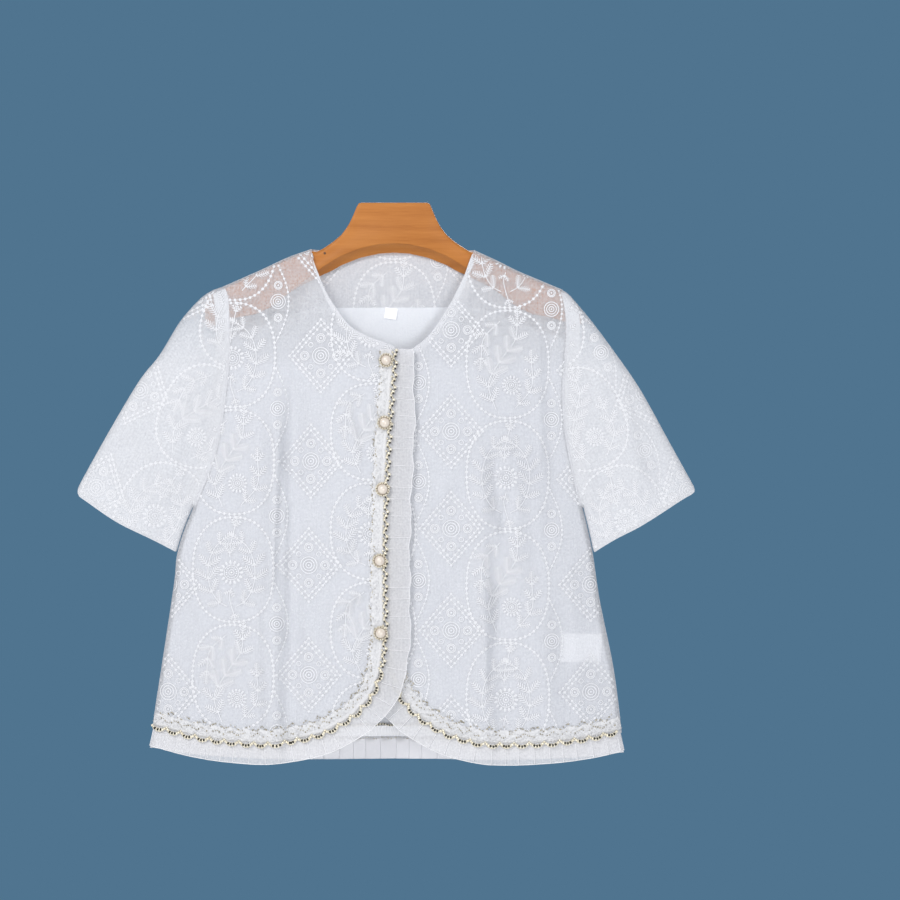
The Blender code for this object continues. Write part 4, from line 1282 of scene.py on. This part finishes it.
def hanger_section(x, side):
    """The outline of the hanger at one x, as (y, z) corners."""
    reach = abs(x)
    line = TOP_LINE[side]
    line = line if side == "left" else line[::-1]
    start = abs(SHOULDER[side][0][0])
    tip = abs(SHOULDER[side][-1][0])
    room = HANGER_UNDER_SHOULDER + HANGER_UNDER_SLEEVE * ease((reach - tip + 8.0) / 12.0)
    under = np.interp(x, line[:, 0], line[:, 1]) - room
    neck = np.interp(reach, *np.transpose(HANGER_TOP))
    join = ease((reach - start + 9.0) / 9.0)
    top = neck * (1 - join) + under * join
    low = np.interp(reach, *np.transpose(HANGER_LOW))
    mix = ease((reach - 40.0) / 40.0)
    corner = HANGER_NECK_CORNER + (HANGER_CORNER - HANGER_NECK_CORNER) * mix
    bevel = HANGER_BEVEL * (1 - ease((reach - 60.0) / 50.0))
    half = HANGER_HALF_THICK
    turn = np.linspace(0.0, np.pi / 2, HANGER_ARC)
    front = [(-half + corner * (1 - np.cos(a)), top - corner * (1 - np.sin(a))) for a in turn]
    back = [(-y, z) for y, z in front[::-1]]
    foot = HANGER_LOW_CORNER
    low_back = [(half - foot * (1 - np.cos(a)), low - bevel + foot * (1 - np.sin(a)))
                for a in turn[:-1:2]]
    low_front = [(-half + foot * (1 - np.sin(a)), low + foot * (1 - np.cos(a))) for a in turn[:-1:2]]
    return front + back + low_back + low_front


KNOT = (-72.5, -53.2, 1.3)


def make_hanger():
    """The wooden hanger: sections along X, with rounded edges and ends."""
    stations = np.linspace(HANGER_END["right"], HANGER_END["left"], HANGER_STATIONS)
    rings = []
    for x in stations:
        section = np.array(hanger_section(x, "right" if x < 0 else "left"))
        to_end = min(x - stations[0], stations[-1] - x)
        t = min(to_end / HANGER_END_ROUND, 1.0)
        narrow = HANGER_END_SIZE + (1 - HANGER_END_SIZE) * np.sqrt(1 - (1 - t) ** 2)
        middle = section.mean(axis=0)
        section = middle + (section - middle) * narrow
        rings.append(np.column_stack([np.full(len(section), x), section]))
    rings = np.array(rings)
    skin = rings.reshape(-1, 3), ring_faces(*rings.shape[:2])
    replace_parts(piece("hanger_wood", skin, "wood", closed=False, sharp=45.0), "hanger")
    x, z, radius = KNOT
    knot = lathe(((radius, -1.0), (radius, 0.1), (0.6 * radius, 0.35)), (x, -HANGER_HALF_THICK, z), 16)
    piece("hanger_knot", knot, "knot", closed=False)


# Trim

def inward_line(boundary, face_sign):
    """Unit directions from a boundary into the panel, in the XZ plane."""
    ahead = np.roll(boundary, -3, axis=0)
    behind = np.roll(boundary, 3, axis=0)
    ahead[-3:] = boundary[-1]
    behind[:3] = boundary[0]
    tangent = ahead - behind
    tangent /= np.linalg.norm(tangent, axis=1, keepdims=True) + 1e-9
    return np.stack([-tangent[:, 1], tangent[:, 0]], axis=1) * face_sign


class Edge:
    """The trimmed edge of a panel: the front edge and hem, or the back's hem."""

    def __init__(self, name):
        self.name = name
        self.cloth = "back" if name == "back" else "front_" + name
        if name == "back":
            line = smooth_line(BACK_HEM)
            sign = 1.0
        else:
            line = np.vstack([smooth_line(FRONT_EDGE[name]), smooth_line(FRONT_HEM[name])[1:]])
            sign = -1.0 if name == "right" else 1.0
        steps = int(lengths(line)[-1] / 1.5)
        self.line = along(line, np.linspace(0, 1, steps))
        self.run = lengths(self.line)
        self.total = self.run[-1]
        self.inward = inward_line(self.line, sign)
        self.edge_run = 0.0 if name == "back" else EDGE_RUN

    def at(self, run, inward, out):
        """Points on the cloth at a run along the edge and a distance inwards."""
        run = np.asarray(run, float)
        x = np.interp(run, self.run, self.line[:, 0])
        z = np.interp(run, self.run, self.line[:, 1])
        nx = np.interp(run, self.run, self.inward[:, 0])
        nz = np.interp(run, self.run, self.inward[:, 1])
        return on_cloth(x + nx * inward, z + nz * inward, self.cloth, out)


def balls(centres, radii, around=8, levels=5):
    """Points and faces of many small spheres."""
    polar = np.linspace(0, np.pi, levels + 1)[1:-1]
    turn = np.linspace(0, 2 * np.pi, around, endpoint=False)
    ring = np.array([(np.sin(p) * np.cos(a), np.cos(p), np.sin(p) * np.sin(a))
                     for p in polar for a in turn])
    unit = np.vstack([[0, 1, 0], ring, [0, -1, 0]])
    faces = []
    last = len(unit) - 1
    for k in range(around):
        n = (k + 1) % around
        faces.append((0, 1 + n, 1 + k))
        for level in range(len(polar) - 1):
            low = 1 + level * around
            faces.append((low + k, low + n, low + around + n, low + around + k))
        faces.append((last - around + k, last - around + n, last))
    centres, radii = np.asarray(centres, float), np.broadcast_to(radii, len(centres))
    points = (centres[:, None] + unit[None] * radii[:, None, None]).reshape(-1, 3)
    joined = [tuple(f + number * len(unit) for f in face)
              for number in range(len(centres)) for face in faces]
    return points, joined


SWAG = 15.7
SWAG_SAG = 4.6
SWAG_BEADS = ((0.0, 1.2), (0.11, 1.6), (0.25, 2.05), (0.41, 2.35), (0.59, 2.35), (0.75, 2.05), (0.89, 1.6))
SWAG_SHADE_SPOTS = (0.32, 0.5, 0.68)
CHAIN_STEP = 4.3
CHAIN_SIDES = (1.7, 0.3, -1.6)
BEADS_OUT = 2.6
BEAD_SHADE_OUT = 4.1


def bead_places(edge):
    """Where the metal beads and the dark balls of painted shade in and between them lie: run, inward
    distance and radius.
    """
    beads, gaps = [], []
    run, number = 2.0, 0
    while run < edge.edge_run:
        side = CHAIN_SIDES[number % 3]
        beads.append((run, 2.5 - side, 1.95 if number % 3 < 2 else 1.6))
        beads.append((run + 2.0, 3.7 + 0.7 * side, 1.15))
        gaps.append((run + 2.2, 2.0 - 0.9 * side, 1.1 if number % 3 < 2 else 0.9))
        run += CHAIN_STEP
        number += 1
    swags = int((edge.total - run) / SWAG)
    for swag in range(swags):
        start = run + swag * SWAG
        for t, radius in SWAG_BEADS:
            beads.append((start + SWAG * t, 5.4 - SWAG_SAG * np.sin(np.pi * t) ** 0.8, radius))
        for t in SWAG_SHADE_SPOTS:
            gaps.append((start + SWAG * t, 5.9 - SWAG_SAG * np.sin(np.pi * t) ** 0.8, 1.45))
    return np.array(beads), np.array(gaps)


def make_beads(edge):
    """The pale metal beads, and dark balls of painted shade in their holes and between them."""
    beads, gaps = bead_places(edge)
    gold = balls(edge.at(beads[:, 0], beads[:, 1], BEADS_OUT), beads[:, 2])
    piece("beads_" + edge.name, gold, "gold", closed=False)
    # Painted shade: near-black balls in the beads' holes and between them
    dark = balls(edge.at(gaps[:, 0], gaps[:, 1], BEAD_SHADE_OUT), gaps[:, 2], 7, 5)
    piece("bead_painted_shade_" + edge.name, dark, "shadow_gold", closed=False)


CORD_END = {"right": 455.0, "left": 0.0, "back": 0.0}
CORD_PROFILE = ((4.6, 0.4), (5.0, 1.2), (6.3, 1.6), (8.0, 1.6), (9.2, 1.2), (9.6, 0.4))
CORD_UNDER = 0.25


def make_cord(edge):
    """The smooth flat cord between the beads and the tufts of the front edge."""
    run = np.linspace(0.8, CORD_END[edge.name], int(CORD_END[edge.name] / 1.6))
    wobble = 0.25 * np.sin(run / 5.0) + 0.2 * np.sin(run / 2.1)
    outer = np.stack([edge.at(run, inward + wobble, out) for inward, out in CORD_PROFILE], axis=1)
    inner = np.stack([edge.at(run, inward + wobble, CORD_UNDER) for inward, out in CORD_PROFILE], axis=1)
    piece("edging_" + edge.name, shell(outer, inner), "cord", sharp=75.0)


BRAID_COLUMNS = 12
BRAID_IN = (4.4, 17.6)
BRAID_UNDER = 0.12
TUFTS_PER_MM = 4.5
TUFT_IN = (4.8, 15.5)
TUFT_LIMITS = (3.6, 19.0)
TUFT_HALF_WIDTH = 0.34


def make_braid(edge):
    """A soft band of lace with ragged tufts across it."""
    random = np.random.default_rng(3)
    run = np.linspace(0.6, edge.total - 0.6, int(edge.total / 1.3))
    inward = np.linspace(*BRAID_IN, BRAID_COLUMNS)
    share = np.linspace(0, 1, BRAID_COLUMNS)
    puffs = sum(np.sin(run[:, None] / a + inward / b + c) for a, b, c in
                ((0.74, 0.95, 0.0), (-0.9, 0.8, 1.0), (1.5, -0.9, 2.0), (0.62, -1.3, 4.0)))
    puffs = np.maximum(0.75 + 0.3 * puffs + random.uniform(-0.2, 0.2, puffs.shape), 0.05)
    height = 0.3 + np.sin(np.pi * share) ** 0.4 * puffs
    ragged = 0.9 * np.sin(run / 2.9) + 0.7 * np.sin(run / 1.3 + 1.0)
    reach = inward[None] + ragged[:, None] * (share ** 3)[None]
    run = np.broadcast_to(run[:, None], reach.shape)
    lace = shell(edge.at(run, reach, height), edge.at(run, reach, BRAID_UNDER))
    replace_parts(piece("braid_" + edge.name, lace, "tuft", sharp=80.0), "trim_" + edge.name)

    count = int(edge.total * TUFTS_PER_MM)
    runs = np.sort(random.uniform(1, edge.total - 1, count))
    starts = random.uniform(*TUFT_IN, count)
    reaches = random.normal(0.3, 2.6, count)
    slants = random.normal(0.0, 1.8, count)
    points, faces = [], []
    t = np.linspace(0, 1, 4)
    height = 0.7 + 1.1 * np.sin(np.pi * np.clip(t + 0.1, 0, 1))
    half = TUFT_HALF_WIDTH * (1.15 - t)
    for start, inside, reach, slant in zip(runs, starts, reaches, slants):
        line_run = start + slant * t
        line_in = np.clip(inside + reach * t, *TUFT_LIMITS)
        first = len(points)
        left = np.stack([line_run - half, line_in - half * 0.5, height], axis=1)
        right = np.stack([line_run + half, line_in + half * 0.5, height], axis=1)
        for pair in zip(left, right):
            points += pair
        faces += [(first + 2 * k, first + 2 * k + 1, first + 2 * k + 3, first + 2 * k + 2)
                  for k in range(len(t) - 1)]
    points = np.array(points)
    placed = edge.at(np.clip(points[:, 0], 0, edge.total), points[:, 1], points[:, 2])
    piece("tufts_" + edge.name, (placed, faces), "tuft", closed=False)


def make_sequins(edge):
    """A wavy row of small beads and sequins inside the braid."""
    random = np.random.default_rng(7)
    count = int(edge.total / 1.5)
    runs = np.linspace(3, edge.total - 3, count) + random.uniform(-0.5, 0.5, count)
    upright = runs < edge.edge_run
    inward = np.where(upright, 16.5 + 1.5 * np.sin(runs / 7.0), 18.6 + 2.2 * np.sin(runs / 2.7))
    inward += random.uniform(-1.0, 1.0, count) * np.where(upright, 2.2, 1.0)
    keep = random.uniform(0, 1, count) < np.where(upright, 0.55, 0.75)
    places = edge.at(runs[keep], inward[keep], 0.7)
    hem = np.arange(edge.edge_run + 4.0, edge.total - 4.0, 2.3)
    hem = hem[random.uniform(0, 1, len(hem)) < 0.7]
    middle = 12.2 + 1.7 * np.sin(hem / 2.4) + random.uniform(-0.8, 0.8, len(hem))
    places = np.concatenate([places, edge.at(hem, middle, 1.5)])
    piece("sequins_" + edge.name, balls(places, random.uniform(0.5, 0.95, len(places)), 6, 4),
          "sequin", closed=False)


INSIDE_HEM = (-62.0, 58.0, -551.0, -562.0)
RIB = 3.4


def make_inside_hem():
    """What shows of the back's trim on its inside: a ribbed strip, beads and specks."""
    left, right, top, low = INSIDE_HEM
    x, z = np.meshgrid(np.arange(left, right, 0.5), np.linspace(top, low, 8), indexing="ij")
    ribs = 0.35 * np.sin(2 * np.pi * x / RIB)
    outer = on_cloth(x, z, "back", -2.6 + ribs)
    inner = on_cloth(x, z, "back", np.full(x.shape, -1.9))
    # The strip gets a lighter, faintly glowing copy of the band: painted light where it lies in shade
    piece("hem_strip_inside", shell(outer, inner), "strip_lit")
    random = np.random.default_rng(11)
    count = 46
    x = np.linspace(left, right, count) + random.uniform(-1.0, 1.0, count)
    z = low - 2.0 + 0.9 * np.sin(x / 2.5)
    piece("sequins_inside", balls(on_cloth(x, z, "back", -2.6), random.uniform(0.4, 0.8, count), 6, 4),
          "sequin", closed=False)
    x = np.arange(left, right, 2.9)
    z = top + 1.2 + 0.9 * np.sin(x / 3.0)
    piece("beads_inside", balls(on_cloth(x, z, "back", -3.2), 1.25), "gold", closed=False)
    # Painted shade: near-black balls in the holes of the beads above
    piece("bead_painted_shade_inside", balls(on_cloth(x + 1.4, z - 0.4, "back", -3.7), 0.75, 6, 4), "shadow_gold",
          closed=False)


def tube(points, radius, sides=8):
    """A round tube along points, with closed ends."""
    points = np.asarray(points, float)
    tangent = np.gradient(points, axis=0)
    tangent /= np.linalg.norm(tangent, axis=1, keepdims=True) + 1e-9
    across = np.cross(tangent, (0.0, 1.0, 0.0))
    across /= np.linalg.norm(across, axis=1, keepdims=True) + 1e-9
    up = np.cross(across, tangent)
    turn = np.linspace(0, 2 * np.pi, sides, endpoint=False)
    rings = (points[:, None] + radius * (np.cos(turn)[None, :, None] * across[:, None]
                                         + np.sin(turn)[None, :, None] * up[:, None]))
    return rings.reshape(-1, 3), ring_faces(len(points), sides)


# Frills

# Pleats: mean distance, how much it varies, phase step, and how far the fold stands out
PLEATS = {"edge": (17.0, 6.0, 2.1, 0.35), "hem": (14.5, 2.0, 1.7, 0.6)}
PLEAT_CLOTH = 0.3


def pleat_stations(edge):
    """The frill's folds: run along the edge, how far each station stands out, and the crests."""
    stations, crests = [], []
    run = FRILL_SHORT if edge.name == "back" else 0.0
    number = 0
    while run < edge.total - FRILL_SHORT:
        mean, vary, phase, height = PLEATS["edge" if run < edge.edge_run else "hem"]
        space = mean + vary * np.sin(number * phase)
        end = min(run + space, edge.total - FRILL_SHORT)
        stations += [(s, PLEAT_CLOTH + height * ((s - run) / space) ** 2) for s in np.linspace(run, end, 7)]
        if end < edge.total - FRILL_SHORT:
            crests.append(len(stations) - 1)
            stations.append((end + 0.35, PLEAT_CLOTH))
        run = end + 0.4
        number += 1
    return np.array(stations), crests


def make_frill(edge):
    """A pleated strip of organza with pressed folds and a rolled hem."""
    stations, crests = pleat_stations(edge)
    run = np.clip(stations[:, 0], 0.0, edge.total)
    base_x = np.interp(run, edge.run, edge.line[:, 0])
    base_z = np.interp(run, edge.run, edge.line[:, 1])
    nx = -np.interp(run, edge.run, edge.inward[:, 0])
    nz = -np.interp(run, edge.run, edge.inward[:, 1])
    width = np.full(len(run), FRILL_WIDTH["hem"])
    if edge.name != "back":
        width -= FRILL_PERSPECTIVE * ease((run - EDGE_RUN) / (2 * CORNER_RUN))
        width = FRILL_WIDTH["edge"] + (width - FRILL_WIDTH["edge"]) * ease((run - EDGE_RUN) / CORNER_RUN)
        width -= (FRILL_WIDTH["edge"] - FRILL_WIDTH["neck"]) * (1 - ease(run / NECK_RUN))
        ripple = 0.9 * np.sin(run / 9.0) + 0.5 * np.sin(run / 3.7)
        width += ripple * (1 - ease((run - EDGE_RUN) / CORNER_RUN))
    face, lifted, _ = CLOTHS[edge.cloth]
    toward = -1.0 if face == "front" else 1.0
    start = surface(np.stack([base_x, base_z], axis=1), face, lifted)
    tip_flat = np.stack([base_x + nx * width, base_z + nz * width], axis=1)
    tip = surface(tip_flat, face, lifted)
    tip[:, 1] = np.maximum(tip[:, 1] * toward, FRILL_STAND) * toward
    rows = []
    for t in np.linspace(-0.12, 1.0, 8):
        row = start + (tip - start) * t
        flare = 1.0 + 0.6 * max(t, 0.0)
        row[:, 1] += toward * stations[:, 1] * flare - toward * (0.6 if t < 0 else 0.2)
        row[:, 1] += toward * 0.45 * np.sin(run / 6.5) * max(t, 0.0)
        rows.append(row)
    grid = np.stack(rows, axis=1)
    normal = np.zeros_like(grid)
    normal[..., 1] = toward
    # The back's frill gets the lighter copy: painted light where it lies in shade
    material = "frill_lit" if edge.name == "back" else "frill"
    cloth = shell(grid, grid - normal * FRILL_CLOTH)
    cloth = piece("cloth_frill_" + edge.name, cloth, material, sharp=30.0)
    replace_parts(cloth, "frill_" + edge.name)
    hem = tube(grid[:, -1], ROLLED_HEM, 6)
    piece("frill_hem_" + edge.name, hem, "fold", closed=False)
    points, faces = [], []
    for k in crests:
        ridge, joined = tube(grid[k, 1:] + normal[k, 1:] * 0.1, PRESSED_FOLD, 5)
        faces += [[f + len(points) for f in face] for face in joined]
        points += ridge.tolist()
    piece("frill_folds_" + edge.name, (points, faces), "fold", closed=False)


# Buttons, labels and small parts

def lathe(profile, centre, around):
    """A solid turned about Y through a centre; profile rows are (radius, height towards -Y)."""
    turn = np.linspace(0, 2 * np.pi, around, endpoint=False)
    rings = [[(centre[0] + r * np.cos(a), centre[1] - h, centre[2] + r * np.sin(a)) for a in turn]
             for r, h in profile]
    return [p for ring in rings for p in ring], ring_faces(len(profile), around)


CUP_PROFILE = ((6.4, 0.0), (6.9, 0.5), (6.8, 1.4), (6.2, 2.2), (4.6, 2.2))
# The crown's rows of beads: distance from the middle, height, size, and whether between the others
CROWN = ((6.5, 3.2, 0.95, 0), (7.3, 2.3, 0.6, 1))


def make_button(number, x, z):
    """A pearl in a crown of small beads, on the braid."""
    name = "button_%d" % number
    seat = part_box(name)[1].y / MM
    # The dark cup shows between the beads: painted shade
    cup = lathe(CUP_PROFILE, (x, seat, z), 32)
    piece("button_cup_%d" % number, cup, "crown", closed=False)
    polar = np.linspace(0.02, np.pi / 2 * 1.25, 14)[::-1]
    profile = [(PEARL_RADIUS * np.sin(p), PEARL_SEAT + PEARL_FLATTER * PEARL_RADIUS * np.cos(p))
               for p in polar]
    pearl = lathe(profile, (x, seat, z), 40)
    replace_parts(piece("button_pearl_%d" % number, pearl, "pearl", closed=False), name)
    places, sizes = [], []
    for reach, height, size, between in CROWN:
        turn = np.linspace(0, 2 * np.pi, PRONGS, endpoint=False) + 0.1 * number
        turn = turn + between * np.pi / PRONGS
        places += [(x + reach * np.cos(a), seat - height, z + reach * np.sin(a)) for a in turn]
        sizes += [size] * PRONGS
    piece("button_prongs_%d" % number, balls(places, sizes), "gold", closed=False)


def make_label(name, row, face, room):
    """A bare label that lies on the inside of a face."""
    centre_x, centre_z, width, height, turn = row
    across, up = np.meshgrid(np.linspace(-0.5, 0.5, 16) * width, np.linspace(-0.5, 0.5, 13) * height,
                             indexing="ij")
    angle = np.radians(turn)
    flat = np.stack([centre_x + across * np.cos(angle) - up * np.sin(angle),
                     centre_z + across * np.sin(angle) + up * np.cos(angle)], axis=-1)
    grid = surface(flat, face)
    normals = grid_normals(grid, face)
    curl = 0.25 * np.cos(np.pi * across / width) + 0.1 * np.sin(9.0 * up / height)
    near = grid - normals * (room + curl)[..., None]
    label = shell(near, near - normals * LABEL_CLOTH)
    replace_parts(piece("label_" + name, label, "label", turn), name)


# The scene

VIEW_CENTRE = (58.8, -259.4)
VIEW_WIDTH = 945.0
VIEW_DISTANCE = 3000.0
SENSOR = 36.0
SKY = (0.92, 0.95, 1.0, 1.0)
SKY_STRENGTH = 0.55
BACKDROP = (0.0802, 0.1746, 0.2747, 1.0)
FLOOR_REACH = 2.8
FLOOR_LEVEL = -1.6

# Lights: name, place, target, size in metres, power in watts, colour
LIGHTS = (
    ("key", (-1.05, -2.1, 0.9), (0.0, 0.0, -0.3), 0.9, 31.0, (1.0, 0.985, 0.97)),
    ("fill", (0.75, -2.8, -0.65), (0.0, 0.0, -0.4), 0.9, 23.5, (0.965, 0.978, 1.0)),
    ("rim", (0.3, 1.9, 0.6), (0.0, 0.0, -0.35), 1.5, 36.0, (1.0, 1.0, 1.0)),
)


def area_light(name, place, target, size, power, colour):
    """A soft square light that looks at a target."""
    data = bpy.data.lights.new(name, "AREA")
    data.shape = "SQUARE"
    data.size = size
    data.energy = power
    data.color = colour
    light = bpy.data.objects.new(name, data)
    bpy.context.scene.collection.objects.link(light)
    light.location = place
    direction = np.array(target, float) - np.array(place, float)
    flat = np.hypot(direction[0], direction[1])
    light.rotation_euler = (np.arctan2(flat, -direction[2]), 0.0, np.arctan2(-direction[0], direction[1]))


def make_stage():
    """Camera, lights, the backdrop's colour and a pale floor below the view."""
    scene = bpy.context.scene
    scene.view_settings.view_transform = "Standard"
    camera_data = bpy.data.cameras.new("camera")
    camera_data.sensor_width = SENSOR
    camera_data.lens = SENSOR * VIEW_DISTANCE / VIEW_WIDTH
    camera_data.clip_end = 50.0
    camera = bpy.data.objects.new("camera", camera_data)
    scene.collection.objects.link(camera)
    camera.location = (VIEW_CENTRE[0] * MM, -VIEW_DISTANCE * MM, VIEW_CENTRE[1] * MM)
    camera.rotation_euler = (np.pi / 2, 0.0, 0.0)
    scene.camera = camera

    world = bpy.data.worlds.new("studio")
    scene.world = world
    world.use_nodes = True
    tree = world.node_tree
    background = tree.nodes["Background"]
    background.inputs["Color"].default_value = SKY
    background.inputs["Strength"].default_value = SKY_STRENGTH
    backdrop = add_node(tree, "ShaderNodeBackground", Color=BACKDROP, Strength=1.0)
    rays = add_node(tree, "ShaderNodeLightPath")
    mix = add_node(tree, "ShaderNodeMixShader")
    tree.links.new(rays.outputs["Is Camera Ray"], mix.inputs[0])
    tree.links.new(background.outputs[0], mix.inputs[1])
    tree.links.new(backdrop.outputs[0], mix.inputs[2])
    tree.links.new(mix.outputs[0], tree.nodes["World Output"].inputs["Surface"])

    for row in LIGHTS:
        area_light(*row)

    mesh = bpy.data.meshes.new("floor")
    corners = [(x * FLOOR_REACH, y * FLOOR_REACH, FLOOR_LEVEL)
               for x, y in ((-1, -1), (1, -1), (1, 1), (-1, 1))]
    mesh.from_pydata(corners, [], [(0, 1, 2, 3)])
    floor = bpy.data.objects.new("floor", mesh)
    scene.collection.objects.link(floor)
    mesh.materials.append(new_material("floor", (0.80, 0.80, 0.79), 0.8)[0])


def main():
    """Build the stage, the hanger, the cloths and all that is sewn on them."""
    make_stage()
    make_hanger()
    make_body()
    make_sleeves()
    make_embroidery()
    for name in ("right", "left", "back"):
        edge = Edge(name)
        make_frill(edge)
        make_braid(edge)
        if CORD_END[name]:
            make_cord(edge)
        make_beads(edge)
        make_sequins(edge)
    make_inside_hem()
    for number, (x, z) in enumerate(BUTTONS, 1):
        make_button(number, x, z)
    make_label("size_label", SIZE_LABEL, "back", WALL + GAP + LINING_WALL + GAP)
    make_label("care_label", CARE_LABEL, "front", WALL + GAP)


main()
bpy.context.view_layer.update()
